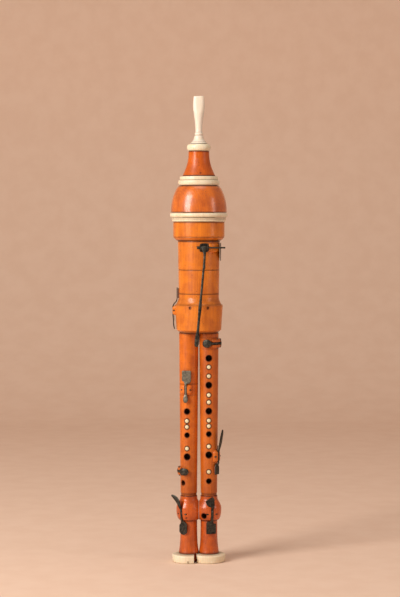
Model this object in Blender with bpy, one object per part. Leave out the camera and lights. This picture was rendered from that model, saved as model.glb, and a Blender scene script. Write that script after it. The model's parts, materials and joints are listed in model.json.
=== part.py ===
"""Double flageolet: two keyed boxwood pipes under one windcap, with ivory rings and mouthpiece.

The pipes stand side by side on their feet, one each side of the YZ plane. The front faces -Y.
An azimuth is counted from the front towards +X, so 0 is the front and 90 is the right side.
"""

import math

import bmesh
import bpy
from mathutils import Matrix, Vector

MM = 0.001

# Facets around each kind of round body
STOCK_SIDES = 32
RING_SIDES = 28
PIPE_SIDES = 28
BORE_SIDES = 18
HOLE_SIDES = 12
PIN_SIDES = 10
STUD_SIDES = 8

# Clearances between separate pieces
GAP = 0.3 * MM
PIN_CLEARANCE = 0.2 * MM
SLOT_CLEARANCE = 0.4 * MM

# Feet and their ivory rings
PIPE_SPACING = 21.4 * MM
RING_HEIGHT = 8.9 * MM
LEFT_RING_RADIUS = 17.9 * MM
RIGHT_RING_RADIUS = 17.6 * MM
LEFT_RING_FLAT = 5.5 * MM
RIGHT_RING_FLAT = 12.6 * MM
FOOT_TENON_RADIUS = 8.2 * MM
FOOT_BODY_LENGTH = 61.7 * MM
FOOT_TOE_RADIUS = 10.8 * MM
FOOT_WAIST_RADIUS = 8.9 * MM
BULGE_RADIUS = 13.2 * MM
FOOT_BORE_RADIUS = 4.3 * MM

# Pipes
PIPE_LENGTH = 170.4 * MM
PIPE_TOP_RADIUS = 10.35 * MM
PIPE_END_RADIUS = 8.8 * MM
JOINT_BAND = 2.6 * MM
JOINT_BAND_RADIUS = 8.3 * MM
BORE_TOP_RADIUS = 4.7 * MM
BORE_END_RADIUS = 4.0 * MM
LOWER_TENON_RADIUS = 6.3 * MM
LOWER_TENON_LENGTH = 12.0 * MM
UPPER_TENON_RADIUS = 7.4 * MM
UPPER_TENON_LENGTH = 18.0 * MM

# Stock: drum, flare, barrel and tenon, turned in one piece
DRUM_CHAMFER = 2.8 * MM
DRUM_HEIGHT = 26.0 * MM
DRUM_FOOT_RADIUS = 20.2 * MM
DRUM_LOW_RADIUS = 23.7 * MM
DRUM_TOP_RADIUS = 25.4 * MM
FLARE_HEIGHT = 9.0 * MM
BARREL_LENGTH = 59.5 * MM
BARREL_LOW_RADIUS = 21.3 * MM
BARREL_TOP_RADIUS = 22.3 * MM
STOCK_BORE_RADIUS = 4.9 * MM
STOCK_TENON_RADIUS = 17.5 * MM
STOCK_TENON_LENGTH = 13.0 * MM
SCRIBE_DEPTH = 0.35 * MM
SCRIBE_DROPS = (30.7 * MM, 55.9 * MM)
PLUG_CLEARANCE = 0.3 * MM
PLUG_LENGTH_ABOVE = 10.0 * MM
WINDOW_WIDTH = 6.4 * MM
MOUTH_HEIGHT = 2.2 * MM
RIGHT_MOUTH_DROP = 18.4 * MM
LEFT_MOUTH_DROP = 54.2 * MM
PEG_HOLE_RADIUS = 0.8 * MM
PEG_HOLE_DEPTH = 1.2 * MM
PEG_HOLE_DROP = 1.6 * MM
PEG_HOLE_AZIMUTHS = (-21.5, 22.0)

# Collar and windcap, from the joint with the barrel upwards
COLLAR_HEIGHT = 19.8 * MM
COLLAR_RADIUS = 27.2 * MM
COLLAR_FOOT_RADIUS = 23.4 * MM
COLLAR_TENON_RADIUS = 16.9 * MM
COLLAR_TENON_WALL = 1.9 * MM
STOCK_RING_HEIGHT = 4.3 * MM
STOCK_RING_RADIUS = 29.0 * MM
BASE_RING_HEIGHT = 4.7 * MM
BASE_RING_RADIUS = 30.8 * MM
CAP_SOCKET_DEPTH = 11.5 * MM
BULB_HEIGHT = 28.4 * MM
BULB_RADIUS = 29.7 * MM
BULB_NECK_RADIUS = 21.3 * MM
MIDDLE_RING_HEIGHT = 9.8 * MM
MIDDLE_RING_RADIUS = 21.9 * MM
CONE_HEIGHT = 26.0 * MM
CONE_FOOT_RADIUS = 17.3 * MM
CONE_NECK_RADIUS = 11.0 * MM
CONE_TENON_RADIUS = 14.0 * MM
CONE_TENON_BELOW = 7.9 * MM
CONE_BORE_RADIUS = 3.0 * MM
TOP_RING_HEIGHT = 7.5 * MM
TOP_RING_RADIUS = 12.7 * MM
SPONGE_HEIGHT = 14.0 * MM
MOUTHPIECE_HEIGHT = 50.4 * MM
MOUTHPIECE_TENON_RADIUS = 4.5 * MM
MOUTHPIECE_TENON_LENGTH = 15.0 * MM
MOUTHPIECE_BORE_RADIUS = 1.9 * MM
BEAK_HALF_WIDTH = 6.1 * MM
BEAK_TIP_HALF_WIDTH = 5.5 * MM
BEAK_TIP_HALF_DEPTH = 2.7 * MM

# Finger holes: distance below the top of the pipe, diameter, azimuth
RIGHT_HOLES = (
    (26.6 * MM, 6.2 * MM, -1),
    (55.1 * MM, 6.2 * MM, -1),
    (82.7 * MM, 6.2 * MM, -1),
    (107.1 * MM, 5.1 * MM, -1),
    (129.3 * MM, 6.5 * MM, -1),
    (157.2 * MM, 5.1 * MM, -1),
    (14.0 * MM, 5.0 * MM, 180),
)
LEFT_HOLES = (
    (83.1 * MM, 5.7 * MM, -12),
    (108.3 * MM, 4.8 * MM, -12),
    (131.3 * MM, 6.4 * MM, -12),
    (159.3 * MM, 4.8 * MM, -44),
    (24.0 * MM, 5.0 * MM, 180),
)
FOOT_HOLE_DROP = 20.9 * MM
FOOT_HOLE_DIAMETER = 5.4 * MM
FOOT_HOLE_AZIMUTH = -25

# Ivory studs beside the finger holes: distance below the top of the pipe
RIGHT_STUDS = (35.9 * MM, 45.6 * MM, 65.6 * MM, 73.2 * MM, 92.7 * MM, 98.6 * MM, 120.2 * MM, 147.2 * MM)
LEFT_STUDS = (93.2 * MM, 99.5 * MM, 122.5 * MM)
RIGHT_STUD_AZIMUTH = -1
LEFT_STUD_AZIMUTH = -12
STUD_RADIUS = 2.15 * MM
STUD_DEPTH = 2.2 * MM
STUD_DOME = 0.9 * MM

# Key work shared by all keys
PIN_RADIUS = 0.8 * MM
LUG_RADIUS = 1.6 * MM
LUG_HEIGHT = 1.6 * MM
LEVER_HEIGHT = 2.7 * MM
LEVER_WIDTH = 2.3 * MM
LEVER_THICKNESS = 1.3 * MM
PLATE_THICKNESS = 1.0 * MM
PAD_THICKNESS = 1.2 * MM
SEAT_DEPTH = 0.5 * MM
VENT_RADIUS = 2.4 * MM
BLOCK_HEIGHT = 3.2 * MM
BLOCK_ROOT = 0.5 * MM
SPRING_WIDTH = 1.5 * MM
SPRING_THICKNESS = 0.35 * MM

# Places of the keys: distance of the hinge below the top of the pipe, or of the foot, and azimuth
TOP_KEY_DROP = 10.9 * MM
TOP_KEY_AZIMUTH = 48
PLATE_KEY_DROP = 59.9 * MM
PLATE_KEY_AZIMUTH = -15
LEFT_SIDE_KEY_DROP = 147.0 * MM
LEFT_SIDE_KEY_AZIMUTH = -65
RIGHT_SIDE_KEY_DROP = 131.2 * MM
RIGHT_SIDE_KEY_AZIMUTH = 58
FOOT_KEY_DROP = 18.9 * MM
FOOT_HINGE_RADIUS = 11.6 * MM
LEFT_FOOT_KEY_AZIMUTH = -38
RIGHT_FOOT_KEY_AZIMUTH = 16
LEFT_CUTTER_RISE = 20.7 * MM
LEFT_CUTTER_STAND = 1.35 * MM
RIGHT_CUTTER_DROP = 6.9 * MM
RIGHT_CUTTER_RADIUS = 25.4 * MM
KNUCKLE_X = 5.4 * MM
KNUCKLE_WIDTH = 5.5 * MM
KNUCKLE_RADIUS = 2.0 * MM
BRACKET_EAR = 1.2 * MM
ARBOR_RADIUS = 0.85 * MM
ARBOR_END_X = 27.8 * MM
BLADE_THICKNESS = 0.7 * MM
BLADE_GAP = 0.35 * MM

# Levels, from the standing face upwards
LEFT_X = -PIPE_SPACING / 2
RIGHT_X = PIPE_SPACING / 2
FOOT_LOW = RING_HEIGHT + GAP
FOOT_TOP = FOOT_LOW + FOOT_BODY_LENGTH
PIPE_LOW = FOOT_TOP + JOINT_BAND
PIPE_TOP = PIPE_LOW + PIPE_LENGTH
STOCK_LOW = PIPE_TOP + GAP
DRUM_LOW = STOCK_LOW + DRUM_CHAMFER
DRUM_TOP = DRUM_LOW + DRUM_HEIGHT
BARREL_LOW = DRUM_TOP + FLARE_HEIGHT
BARREL_TOP = BARREL_LOW + BARREL_LENGTH
COLLAR_LOW = BARREL_TOP + GAP
COLLAR_TOP = COLLAR_LOW + COLLAR_HEIGHT
STOCK_RING_LOW = COLLAR_TOP + GAP
STOCK_RING_TOP = STOCK_RING_LOW + STOCK_RING_HEIGHT
BASE_RING_LOW = STOCK_RING_TOP + GAP
BASE_RING_TOP = BASE_RING_LOW + BASE_RING_HEIGHT
BULB_LOW = BASE_RING_TOP + GAP
BULB_TOP = BULB_LOW + BULB_HEIGHT
MIDDLE_RING_LOW = BULB_TOP + GAP
MIDDLE_RING_TOP = MIDDLE_RING_LOW + MIDDLE_RING_HEIGHT
CONE_LOW = MIDDLE_RING_TOP + GAP
CONE_TOP = CONE_LOW + CONE_HEIGHT
TOP_RING_LOW = CONE_TOP + GAP
TOP_RING_TOP = TOP_RING_LOW + TOP_RING_HEIGHT
MOUTHPIECE_LOW = TOP_RING_TOP + GAP
STOCK_TENON_TOP = BARREL_TOP + STOCK_TENON_LENGTH
COLLAR_TENON_TOP = BULB_LOW + CAP_SOCKET_DEPTH - 2 * GAP


def remove_old_objects():
    for old in list(bpy.data.objects):
        bpy.data.objects.remove(old, do_unlink=True)


def make_material(name, colour, roughness, metallic=0.0):
    material = bpy.data.materials.new(name)
    material.use_nodes = True
    shader = material.node_tree.nodes["Principled BSDF"]
    shader.inputs["Base Color"].default_value = (*colour, 1.0)
    shader.inputs["Roughness"].default_value = roughness
    shader.inputs["Metallic"].default_value = metallic
    material.diffuse_color = (*colour, 1.0)
    return material


FINISHES = {
    "boxwood": ((0.55, 0.16, 0.025), 0.32, 0.0),
    "ivory": ((0.87, 0.76, 0.52), 0.35, 0.0),
    "tarnished_silver": ((0.09, 0.08, 0.06), 0.4, 0.9),
    "steel": ((0.2, 0.19, 0.17), 0.35, 1.0),
    "leather": ((0.25, 0.06, 0.025), 0.85, 0.0),
    "sponge": ((0.62, 0.5, 0.28), 0.95, 0.0),
}


def finish(name, mesh, surface, parent=None, smooth=True):
    """Put a mesh in the scene as one named object with its own material."""
    colour, roughness, metallic = FINISHES[surface]
    obj = bpy.data.objects.new(name, mesh)
    bpy.context.collection.objects.link(obj)
    mesh.materials.append(make_material(name + "_" + surface, colour, roughness, metallic))
    if smooth:
        mesh.shade_smooth()
        mesh.set_sharp_from_angle(angle=math.radians(38))
    if parent is not None:
        obj.parent = parent
    return obj


def tool(name, mesh, matrix=None):
    """Put a mesh in the scene as a Boolean tool, which is no piece of the object."""
    obj = bpy.data.objects.new(name, mesh)
    bpy.context.collection.objects.link(obj)
    obj.hide_render = True
    obj.display_type = "WIRE"
    if matrix is not None:
        obj.matrix_world = matrix
    return obj


def combine(target, operation, operand):
    modifier = target.modifiers.new(operand.name, "BOOLEAN")
    modifier.operation = operation
    modifier.solver = "EXACT"
    modifier.object = operand


def cut(target, *tools):
    for operand in tools:
        combine(target, "DIFFERENCE", operand)


def join(target, *tools):
    for operand in tools:
        combine(target, "UNION", operand)


def to_mesh(bm, name):
    bmesh.ops.recalc_face_normals(bm, faces=bm.faces)
    mesh = bpy.data.meshes.new(name)
    bm.to_mesh(mesh)
    bm.free()
    return mesh


def turned(name, profile, segments, centre=(0.0, 0.0)):
    """Turn a profile of (radius, height) about an upright axis.

    A profile that starts and ends on the axis gives a solid, and any other is closed into a ring.
    """
    bm = bmesh.new()
    verts = [bm.verts.new((radius, 0.0, height)) for radius, height in profile]
    for first, second in zip(verts, verts[1:]):
        bm.edges.new((first, second))
    if profile[0][0] > 0.0:
        bm.edges.new((verts[-1], verts[0]))
    bmesh.ops.spin(
        bm,
        geom=bm.verts[:] + bm.edges[:],
        axis=(0.0, 0.0, 1.0),
        cent=(0.0, 0.0, 0.0),
        angle=2 * math.pi,
        steps=segments,
        use_merge=True,
    )
    bmesh.ops.remove_doubles(bm, verts=bm.verts, dist=0.000002)
    bmesh.ops.translate(bm, verts=bm.verts, vec=(centre[0], centre[1], 0.0))
    return to_mesh(bm, name)


def lofted(name, loops, hollow=False):
    """Skin a stack of loops with one count of points each, with flat ends or, if hollow, none."""
    bm = bmesh.new()
    rings = [[bm.verts.new(point) for point in loop] for loop in loops]
    pairs = list(zip(rings, rings[1:]))
    if hollow:
        pairs.append((rings[-1], rings[0]))
    for low, high in pairs:
        for i in range(len(low)):
            j = (i + 1) % len(low)
            bm.faces.new((low[i], low[j], high[j], high[i]))
    if not hollow:
        bm.faces.new(rings[0][::-1])
        bm.faces.new(rings[-1])
    return to_mesh(bm, name)


def rod(name, radius, start, end, segments=PIN_SIDES):
    """A cylinder between two points."""
    start = Vector(start)
    end = Vector(end)
    bm = bmesh.new()
    turn = Vector((0.0, 0.0, 1.0)).rotation_difference(end - start).to_matrix().to_4x4()
    place = Matrix.Translation((start + end) / 2) @ turn
    bmesh.ops.create_cone(
        bm,
        cap_ends=True,
        segments=segments,
        radius1=radius,
        radius2=radius,
        depth=(end - start).length,
        matrix=place,
    )
    return to_mesh(bm, name)


def block(name, low, high):
    """A box between two corners."""
    low = Vector(low)
    high = Vector(high)
    bm = bmesh.new()
    place = Matrix.Translation((low + high) / 2) @ Matrix.Diagonal((*(high - low), 1.0))
    bmesh.ops.create_cube(bm, size=1.0, matrix=place)
    return to_mesh(bm, name)


def polar(azimuth, radius, height, centre_x=0.0):
    """The point at an azimuth in degrees and a radius from an upright axis."""
    angle = math.radians(azimuth)
    return Vector((centre_x + radius * math.sin(angle), -radius * math.cos(angle), height))


def radial_rod(name, centre_x, azimuth, height, inner, outer, radius, segments=HOLE_SIDES):
    start = polar(azimuth, inner, height, centre_x)
    end = polar(azimuth, outer, height, centre_x)
    return rod(name, radius, start, end, segments)


def saddle(name, centre_x, azimuth, half_angle, middle, half_height, inner, base, outer):
    """A key block left standing on a turned body: a band whose ends run down to the surface."""
    steps = 6
    chamfer = 0.5 * MM
    loops = []
    for i in range(steps + 1):
        share = 2 * i / steps - 1
        crown = math.sqrt(max(0.0, 1 - share ** 4))
        top = base + (outer - base) * crown
        half = half_height * (0.72 + 0.28 * crown)
        angle = azimuth + half_angle * share
        section = (
            (inner, -half),
            (top - chamfer * crown, -half),
            (top, -half + chamfer),
            (top, half - chamfer),
            (top - chamfer * crown, half),
            (inner, half),
        )
        loops.append([polar(angle, radius, middle + rise, centre_x) for radius, rise in section])
    return lofted(name, loops)


def band(name, centre_x, azimuth, half_angle, low, high, inner, outer):
    """A plain ring segment, used to cut a slot around a body."""
    steps = 6
    loops = []
    for i in range(steps + 1):
        angle = azimuth + half_angle * (2 * i / steps - 1)
        section = ((inner, low), (outer, low), (outer, high), (inner, high))
        loops.append([polar(angle, radius, height, centre_x) for radius, height in section])
    return lofted(name, loops)


def hinge_empty(name, centre_x, azimuth, radius, height):
    """An empty on a key's hinge: its X runs along the surface, its -Y outwards, its Z upwards."""
    empty = bpy.data.objects.new(name, None)
    bpy.context.collection.objects.link(empty)
    empty.empty_display_size = 0.005
    empty.matrix_world = hinge_matrix(centre_x, azimuth, radius, height)
    return empty


def hinge_matrix(centre_x, azimuth, radius, height):
    turn = Matrix.Rotation(math.radians(azimuth), 4, "Z")
    return Matrix.Translation(polar(azimuth, radius, height, centre_x)) @ turn


def strip(name, stations, normal_at=None, chamfered=True):
    """A bar through stations (point, width, thickness), with chamfered edges or square ones.

    normal_at gives the outward direction at a point, and the plain default is -Y.
    """
    points = [Vector(station[0]) for station in stations]
    loops = []
    for i, (_, width, thickness) in enumerate(stations):
        before = points[max(i - 1, 0)]
        after = points[min(i + 1, len(points) - 1)]
        along = (after - before).normalized()
        normal = Vector((0.0, -1.0, 0.0)) if normal_at is None else normal_at(points[i])
        across = along.cross(normal).normalized()
        up = across.cross(along).normalized()
        half = width / 2
        rise = thickness / 2
        edge = min(0.35 * MM, 0.3 * thickness, 0.3 * width)
        outline = [(-half, -rise), (-half, rise), (half, rise), (half, -rise)]
        if chamfered:
            outline = [
                (-half, -rise),
                (-half, rise - edge),
                (-half + edge, rise),
                (half - edge, rise),
                (half, rise - edge),
                (half, -rise),
            ]
        loops.append([points[i] + across * x + up * y for x, y in outline])
    return lofted(name, loops)


def straight_stations(rows, hinge_radius):
    """Turn rows (height, radius, shift, width, thickness) in mm into stations in a hinge's frame."""
    return [
        (Vector((shift * MM, hinge_radius - radius * MM, height * MM)), width * MM, thick * MM)
        for height, radius, shift, width, thick in rows
    ]


def pipe_radius(height):
    share = (height - PIPE_LOW) / PIPE_LENGTH
    return PIPE_END_RADIUS + (PIPE_TOP_RADIUS - PIPE_END_RADIUS) * share


def drum_radius(height):
    share = (height - DRUM_LOW) / DRUM_HEIGHT
    return DRUM_LOW_RADIUS + (DRUM_TOP_RADIUS - DRUM_LOW_RADIUS) * share


def barrel_radius(height):
    share = (height - BARREL_LOW) / BARREL_LENGTH
    return BARREL_LOW_RADIUS + (BARREL_TOP_RADIUS - BARREL_LOW_RADIUS) * share


def foot_profile():
    """The foot from its top rim down: neck, pear-shaped bulge, shaft, toe and the ring's tenon."""
    bulge_low = FOOT_LOW + 36.0 * MM
    lip = 0.4 * MM
    outer = [
        (FOOT_WAIST_RADIUS - lip, FOOT_TOP),
        (FOOT_WAIST_RADIUS, FOOT_TOP - lip),
        (FOOT_WAIST_RADIUS + 0.4 * MM, bulge_low + 22.0 * MM),
        (FOOT_WAIST_RADIUS + 1.2 * MM, bulge_low + 19.8 * MM),
        (BULGE_RADIUS - 0.8 * MM, bulge_low + 15.6 * MM),
        (BULGE_RADIUS, bulge_low + 12.8 * MM),
        (BULGE_RADIUS, bulge_low + 7.0 * MM),
        (BULGE_RADIUS - 1.5 * MM, bulge_low + 1.4 * MM),
        (BULGE_RADIUS - 2.3 * MM, bulge_low),
        (FOOT_WAIST_RADIUS, bulge_low - 0.6 * MM),
        (FOOT_WAIST_RADIUS + 0.15 * MM, FOOT_LOW + 20.0 * MM),
        (FOOT_WAIST_RADIUS + 0.5 * MM, FOOT_LOW + 11.0 * MM),
        (FOOT_TOE_RADIUS - 0.5 * MM, FOOT_LOW + 3.6 * MM),
        (FOOT_TOE_RADIUS, FOOT_LOW + 0.6 * MM),
        (FOOT_TOE_RADIUS, FOOT_LOW),
        (FOOT_TENON_RADIUS, FOOT_LOW),
        (FOOT_TENON_RADIUS, 2 * GAP),
    ]
    socket_low = FOOT_TOP - LOWER_TENON_LENGTH - 2 * GAP
    inner = [
        (FOOT_BORE_RADIUS, 2 * GAP),
        (FOOT_BORE_RADIUS, socket_low),
        (LOWER_TENON_RADIUS + GAP, socket_low),
        (LOWER_TENON_RADIUS + GAP, FOOT_TOP),
    ]
    return outer + inner


def foot_radius_at_plate(height):
    share = (height - FOOT_LOW) / (20.0 * MM)
    if share >= 1.0:
        return FOOT_WAIST_RADIUS + 0.1 * MM
    return FOOT_TOE_RADIUS + (FOOT_WAIST_RADIUS - FOOT_TOE_RADIUS) * share


def make_foot(side, centre_x):
    """A wooden foot with a flat on the inner side of its bulge, where the two feet meet."""
    centre = (centre_x, 0.0)
    foot = finish(side + "_foot", turned(side + "_foot", foot_profile(), PIPE_SIDES, centre), "boxwood")
    reach = 20 * MM
    inner_face = GAP / 2
    if centre_x < 0:
        corners = ((-inner_face, -reach, 0.0), (reach, reach, FOOT_TOP + reach))
    else:
        corners = ((-reach, -reach, 0.0), (inner_face, reach, FOOT_TOP + reach))
    cut(foot, tool(side + "_foot_flat", block(side + "_foot_flat", *corners)))
    return foot


def make_foot_ring(side, centre_x, radius, flat):
    """A flared ivory ring with a rounded rim, cut flat on the side towards its neighbour."""
    inner = FOOT_TENON_RADIUS + GAP
    height = RING_HEIGHT
    profile = [
        (inner, height),
        (FOOT_TOE_RADIUS + 0.8 * MM, height),
        (radius - 1.0 * MM, height - 0.6 * MM),
        (radius - 0.2 * MM, height - 1.1 * MM),
        (radius, height - 2.0 * MM),
        (radius - 0.3 * MM, 3.0 * MM),
        (radius - 0.9 * MM, 0.6 * MM),
        (radius - 1.5 * MM, 0.0),
        (inner, 0.0),
    ]
    name = side + "_foot_ring"
    ring = finish(name, turned(name, profile, RING_SIDES, (centre_x, 0.0)), "ivory")
    reach = 25 * MM
    if centre_x < 0:
        corners = ((centre_x + flat, -reach, -reach), (centre_x + 2 * reach, reach, reach))
    else:
        corners = ((centre_x - 2 * reach, -reach, -reach), (centre_x - flat, reach, reach))
    cut(ring, tool(name + "_flat", block(name + "_flat", *corners)))
    return ring


def make_pipe(side, centre_x):
    """A tapered pipe with its bore, a tenon for the stock and a tenon for the foot."""
    band_low = FOOT_TOP + GAP
    tenon_low = FOOT_TOP - LOWER_TENON_LENGTH
    lip = 0.5 * MM
    profile = [
        (UPPER_TENON_RADIUS - lip, PIPE_TOP + UPPER_TENON_LENGTH),
        (UPPER_TENON_RADIUS, PIPE_TOP + UPPER_TENON_LENGTH - lip),
        (UPPER_TENON_RADIUS, PIPE_TOP),
        (PIPE_TOP_RADIUS - lip, PIPE_TOP),
        (PIPE_TOP_RADIUS, PIPE_TOP - lip),
        (pipe_radius(PIPE_TOP - PIPE_LENGTH / 3), PIPE_TOP - PIPE_LENGTH / 3),
        (pipe_radius(PIPE_TOP - 2 * PIPE_LENGTH / 3), PIPE_TOP - 2 * PIPE_LENGTH / 3),
        (PIPE_END_RADIUS, PIPE_LOW + lip),
        (PIPE_END_RADIUS - lip / 2, PIPE_LOW),
        (JOINT_BAND_RADIUS, PIPE_LOW),
        (JOINT_BAND_RADIUS, band_low),
        (LOWER_TENON_RADIUS, band_low),
        (LOWER_TENON_RADIUS, tenon_low),
        (BORE_END_RADIUS, tenon_low),
        (BORE_TOP_RADIUS, PIPE_TOP + UPPER_TENON_LENGTH),
    ]
    return finish(side + "_pipe", turned(side + "_pipe", profile, PIPE_SIDES, (centre_x, 0.0)), "boxwood")


def drill_finger_holes(pipe, side, centre_x, holes):
    for number, (drop, diameter, azimuth) in enumerate(holes, 1):
        name = f"{side}_finger_hole_{number}"
        height = PIPE_TOP - drop
        inner = BORE_END_RADIUS / 2
        outer = pipe_radius(height) + 3 * MM
        drill = radial_rod(name, centre_x, azimuth, height, inner, outer, diameter / 2)
        cut(pipe, tool(name, drill))


def make_studs(pipe, side, centre_x, drops, azimuth):
    """Small domed ivory studs, each in its own blind hole between the finger holes."""
    for number, drop in enumerate(drops, 1):
        name = f"{side}_stud_{number}"
        height = PIPE_TOP - drop
        surface = pipe_radius(height)
        bottom = surface - STUD_DEPTH
        outer = surface + 3 * MM
        hole = radial_rod(
            name + "_hole", centre_x, azimuth, height, bottom, outer, STUD_RADIUS + GAP, STUD_SIDES
        )
        cut(pipe, tool(name + "_hole", hole))
        edge = 0.35 * STUD_DOME
        profile = [
            (0.0, surface + STUD_DOME),
            (0.62 * STUD_RADIUS, surface + 0.75 * STUD_DOME),
            (STUD_RADIUS, surface + edge),
            (STUD_RADIUS, bottom + GAP),
            (0.0, bottom + GAP),
        ]
        stud = finish(name, turned(name, profile, STUD_SIDES), "ivory")
        stand = Vector((0.0, 0.0, 1.0)).rotation_difference(polar(azimuth, 1.0, 0.0))
        stud.matrix_world = Matrix.Translation((centre_x, 0.0, height)) @ stand.to_matrix().to_4x4()


def make_stock():
    """The stock: a drum that holds both pipes, a flare, a barrel and a tenon for the collar."""
    lip = 0.4 * MM
    profile = [
        (0.0, STOCK_TENON_TOP),
        (STOCK_TENON_RADIUS - lip, STOCK_TENON_TOP),
        (STOCK_TENON_RADIUS, STOCK_TENON_TOP - lip),
        (STOCK_TENON_RADIUS, BARREL_TOP),
        (BARREL_TOP_RADIUS, BARREL_TOP),
    ]
    for drop in SCRIBE_DROPS:
        height = BARREL_TOP - drop
        radius = barrel_radius(height)
        profile += [
            (radius, height + SCRIBE_DEPTH),
            (radius - SCRIBE_DEPTH, height),
            (radius, height - SCRIBE_DEPTH),
        ]
    flare = DRUM_TOP_RADIUS - BARREL_LOW_RADIUS
    for share in (0.0, 0.25, 0.5, 0.75, 1.0):
        turn = math.radians(90 * share)
        radius = DRUM_TOP_RADIUS - flare * math.cos(turn) ** 1.3
        profile.append((radius, BARREL_LOW - (FLARE_HEIGHT - lip) * math.sin(turn) ** 1.2))
    profile += [
        (DRUM_TOP_RADIUS, DRUM_TOP - lip),
        (DRUM_LOW_RADIUS, DRUM_LOW),
        (DRUM_LOW_RADIUS - 1.2 * MM, DRUM_LOW - 0.5 * MM),
        (DRUM_FOOT_RADIUS, STOCK_LOW),
        (0.0, STOCK_LOW),
    ]
    stock = finish("stock", turned("stock", profile, STOCK_SIDES), "boxwood")
    shelf = STOCK_LOW + UPPER_TENON_LENGTH + GAP
    past = 2 * MM
    for side, centre_x in (("left", LEFT_X), ("right", RIGHT_X)):
        bore = [
            (0.0, STOCK_TENON_TOP + past),
            (STOCK_BORE_RADIUS, STOCK_TENON_TOP + past),
            (STOCK_BORE_RADIUS, shelf),
            (UPPER_TENON_RADIUS + GAP, shelf),
            (UPPER_TENON_RADIUS + GAP, STOCK_LOW - past),
            (0.0, STOCK_LOW - past),
        ]
        name = side + "_stock_bore"
        cut(stock, tool(name, turned(name, bore, BORE_SIDES, (centre_x, 0.0))))
    return stock


def drill_peg_holes(stock):
    """Two small blind holes near the top edge of the drum, at the front."""
    height = DRUM_TOP - PEG_HOLE_DROP
    surface = drum_radius(height)
    for number, azimuth in enumerate(PEG_HOLE_AZIMUTHS, 1):
        name = f"peg_hole_{number}"
        bottom = surface - PEG_HOLE_DEPTH
        drill = radial_rod(name, 0.0, azimuth, height, bottom, surface + 2 * MM, PEG_HOLE_RADIUS, STUD_SIDES)
        cut(stock, tool(name, drill))


def window_tool(name, side_sign, top, ramp_run, ramp_drop):
    """The mouth of a pipe in the side of the barrel, with its ramp sloping down and out."""
    inner = PIPE_SPACING / 2 + 0.65 * STOCK_BORE_RADIUS
    edge = PIPE_SPACING / 2 + STOCK_BORE_RADIUS + 0.1 * MM
    outer = BARREL_TOP_RADIUS + 3 * MM
    low = top - MOUTH_HEIGHT
    outline = (
        (inner, top),
        (outer, top),
        (outer, low - ramp_drop * (outer - edge) / ramp_run),
        (edge, low),
        (inner, low),
    )
    half = WINDOW_WIDTH / 2
    loops = [
        [Vector((side_sign * x, y, z)) for x, z in outline] for y in (-half, half)
    ]
    return tool(name, lofted(name, loops))


def cut_windows(stock):
    right_top = BARREL_TOP - RIGHT_MOUTH_DROP
    left_top = BARREL_TOP - LEFT_MOUTH_DROP
    cut(stock, window_tool("right_window", 1, right_top, 5.9 * MM, 8.5 * MM))
    cut(stock, window_tool("left_window", -1, left_top, 5.9 * MM, 4.6 * MM))


def make_fipple(side, centre_x, outward, mouth_drop):
    """A round plug in the stock's bore, cut flat on its outer side to leave the windway."""
    low = BARREL_TOP - mouth_drop + 0.3 * MM
    top = BARREL_TOP + PLUG_LENGTH_ABOVE
    radius = STOCK_BORE_RADIUS - PLUG_CLEARANCE
    lip = 0.4 * MM
    profile = [(0.0, top), (radius - lip, top), (radius, top - lip), (radius, low), (0.0, low)]
    name = side + "_fipple"
    plug = finish(name, turned(name, profile, BORE_SIDES, (centre_x, 0.0)), "boxwood")
    windway = 1.1 * MM
    face = centre_x + outward * (radius - windway)
    far = centre_x + outward * 3 * radius
    corners = ((min(face, far), -radius * 2, low - radius), (max(face, far), radius * 2, top + radius))
    cut(plug, tool(name + "_windway", block(name + "_windway", *corners)))
    return plug


def make_collar():
    """The collar: a socket over the stock's tenon, and a thin tube that the windcap slides on."""
    rim = 0.6 * MM
    socket = STOCK_TENON_RADIUS + GAP
    shelf = STOCK_TENON_TOP + GAP
    chamber = COLLAR_TENON_RADIUS - COLLAR_TENON_WALL
    profile = [
        (COLLAR_TENON_RADIUS - rim / 2, COLLAR_TENON_TOP),
        (COLLAR_TENON_RADIUS, COLLAR_TENON_TOP - rim / 2),
        (COLLAR_TENON_RADIUS, COLLAR_TOP),
        (COLLAR_RADIUS - rim, COLLAR_TOP),
        (COLLAR_RADIUS, COLLAR_TOP - rim),
        (COLLAR_RADIUS, COLLAR_LOW + 3.9 * MM),
        (COLLAR_RADIUS - 0.5 * MM, COLLAR_LOW + 3.3 * MM),
        (COLLAR_FOOT_RADIUS, COLLAR_LOW),
        (socket, COLLAR_LOW),
        (socket, shelf),
        (chamber, shelf),
        (chamber, COLLAR_TENON_TOP),
    ]
    return finish("collar", turned("collar", profile, STOCK_SIDES), "boxwood")


def make_sponge():
    """The sponge that catches moisture above the two windways."""
    radius = COLLAR_TENON_RADIUS - COLLAR_TENON_WALL - GAP
    low = STOCK_TENON_TOP + 2 * GAP
    top = low + SPONGE_HEIGHT
    soft = 1.2 * MM
    profile = [
        (0.0, top),
        (radius - soft, top),
        (radius, top - soft),
        (radius, low + soft),
        (radius - soft, low),
        (0.0, low),
    ]
    return finish("sponge", turned("sponge", profile, BORE_SIDES), "sponge")


def rounded_ring(name, low, height, inner, tiers, segments):
    """An ivory ring with rounded tiers from the top down.

    Each tier is (share of the height where it starts, share where it ends, radius).
    """
    profile = [(inner, low + height)]
    for start, end, tier_radius in tiers:
        top = low + height * start
        bottom = low + height * end
        soft = 0.28 * (top - bottom)
        profile += [
            (tier_radius - soft, top),
            (tier_radius, top - soft),
            (tier_radius, bottom + soft),
            (tier_radius - soft, bottom),
        ]
    profile.append((inner, low))
    return finish(name, turned(name, profile, segments), "ivory")


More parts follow.
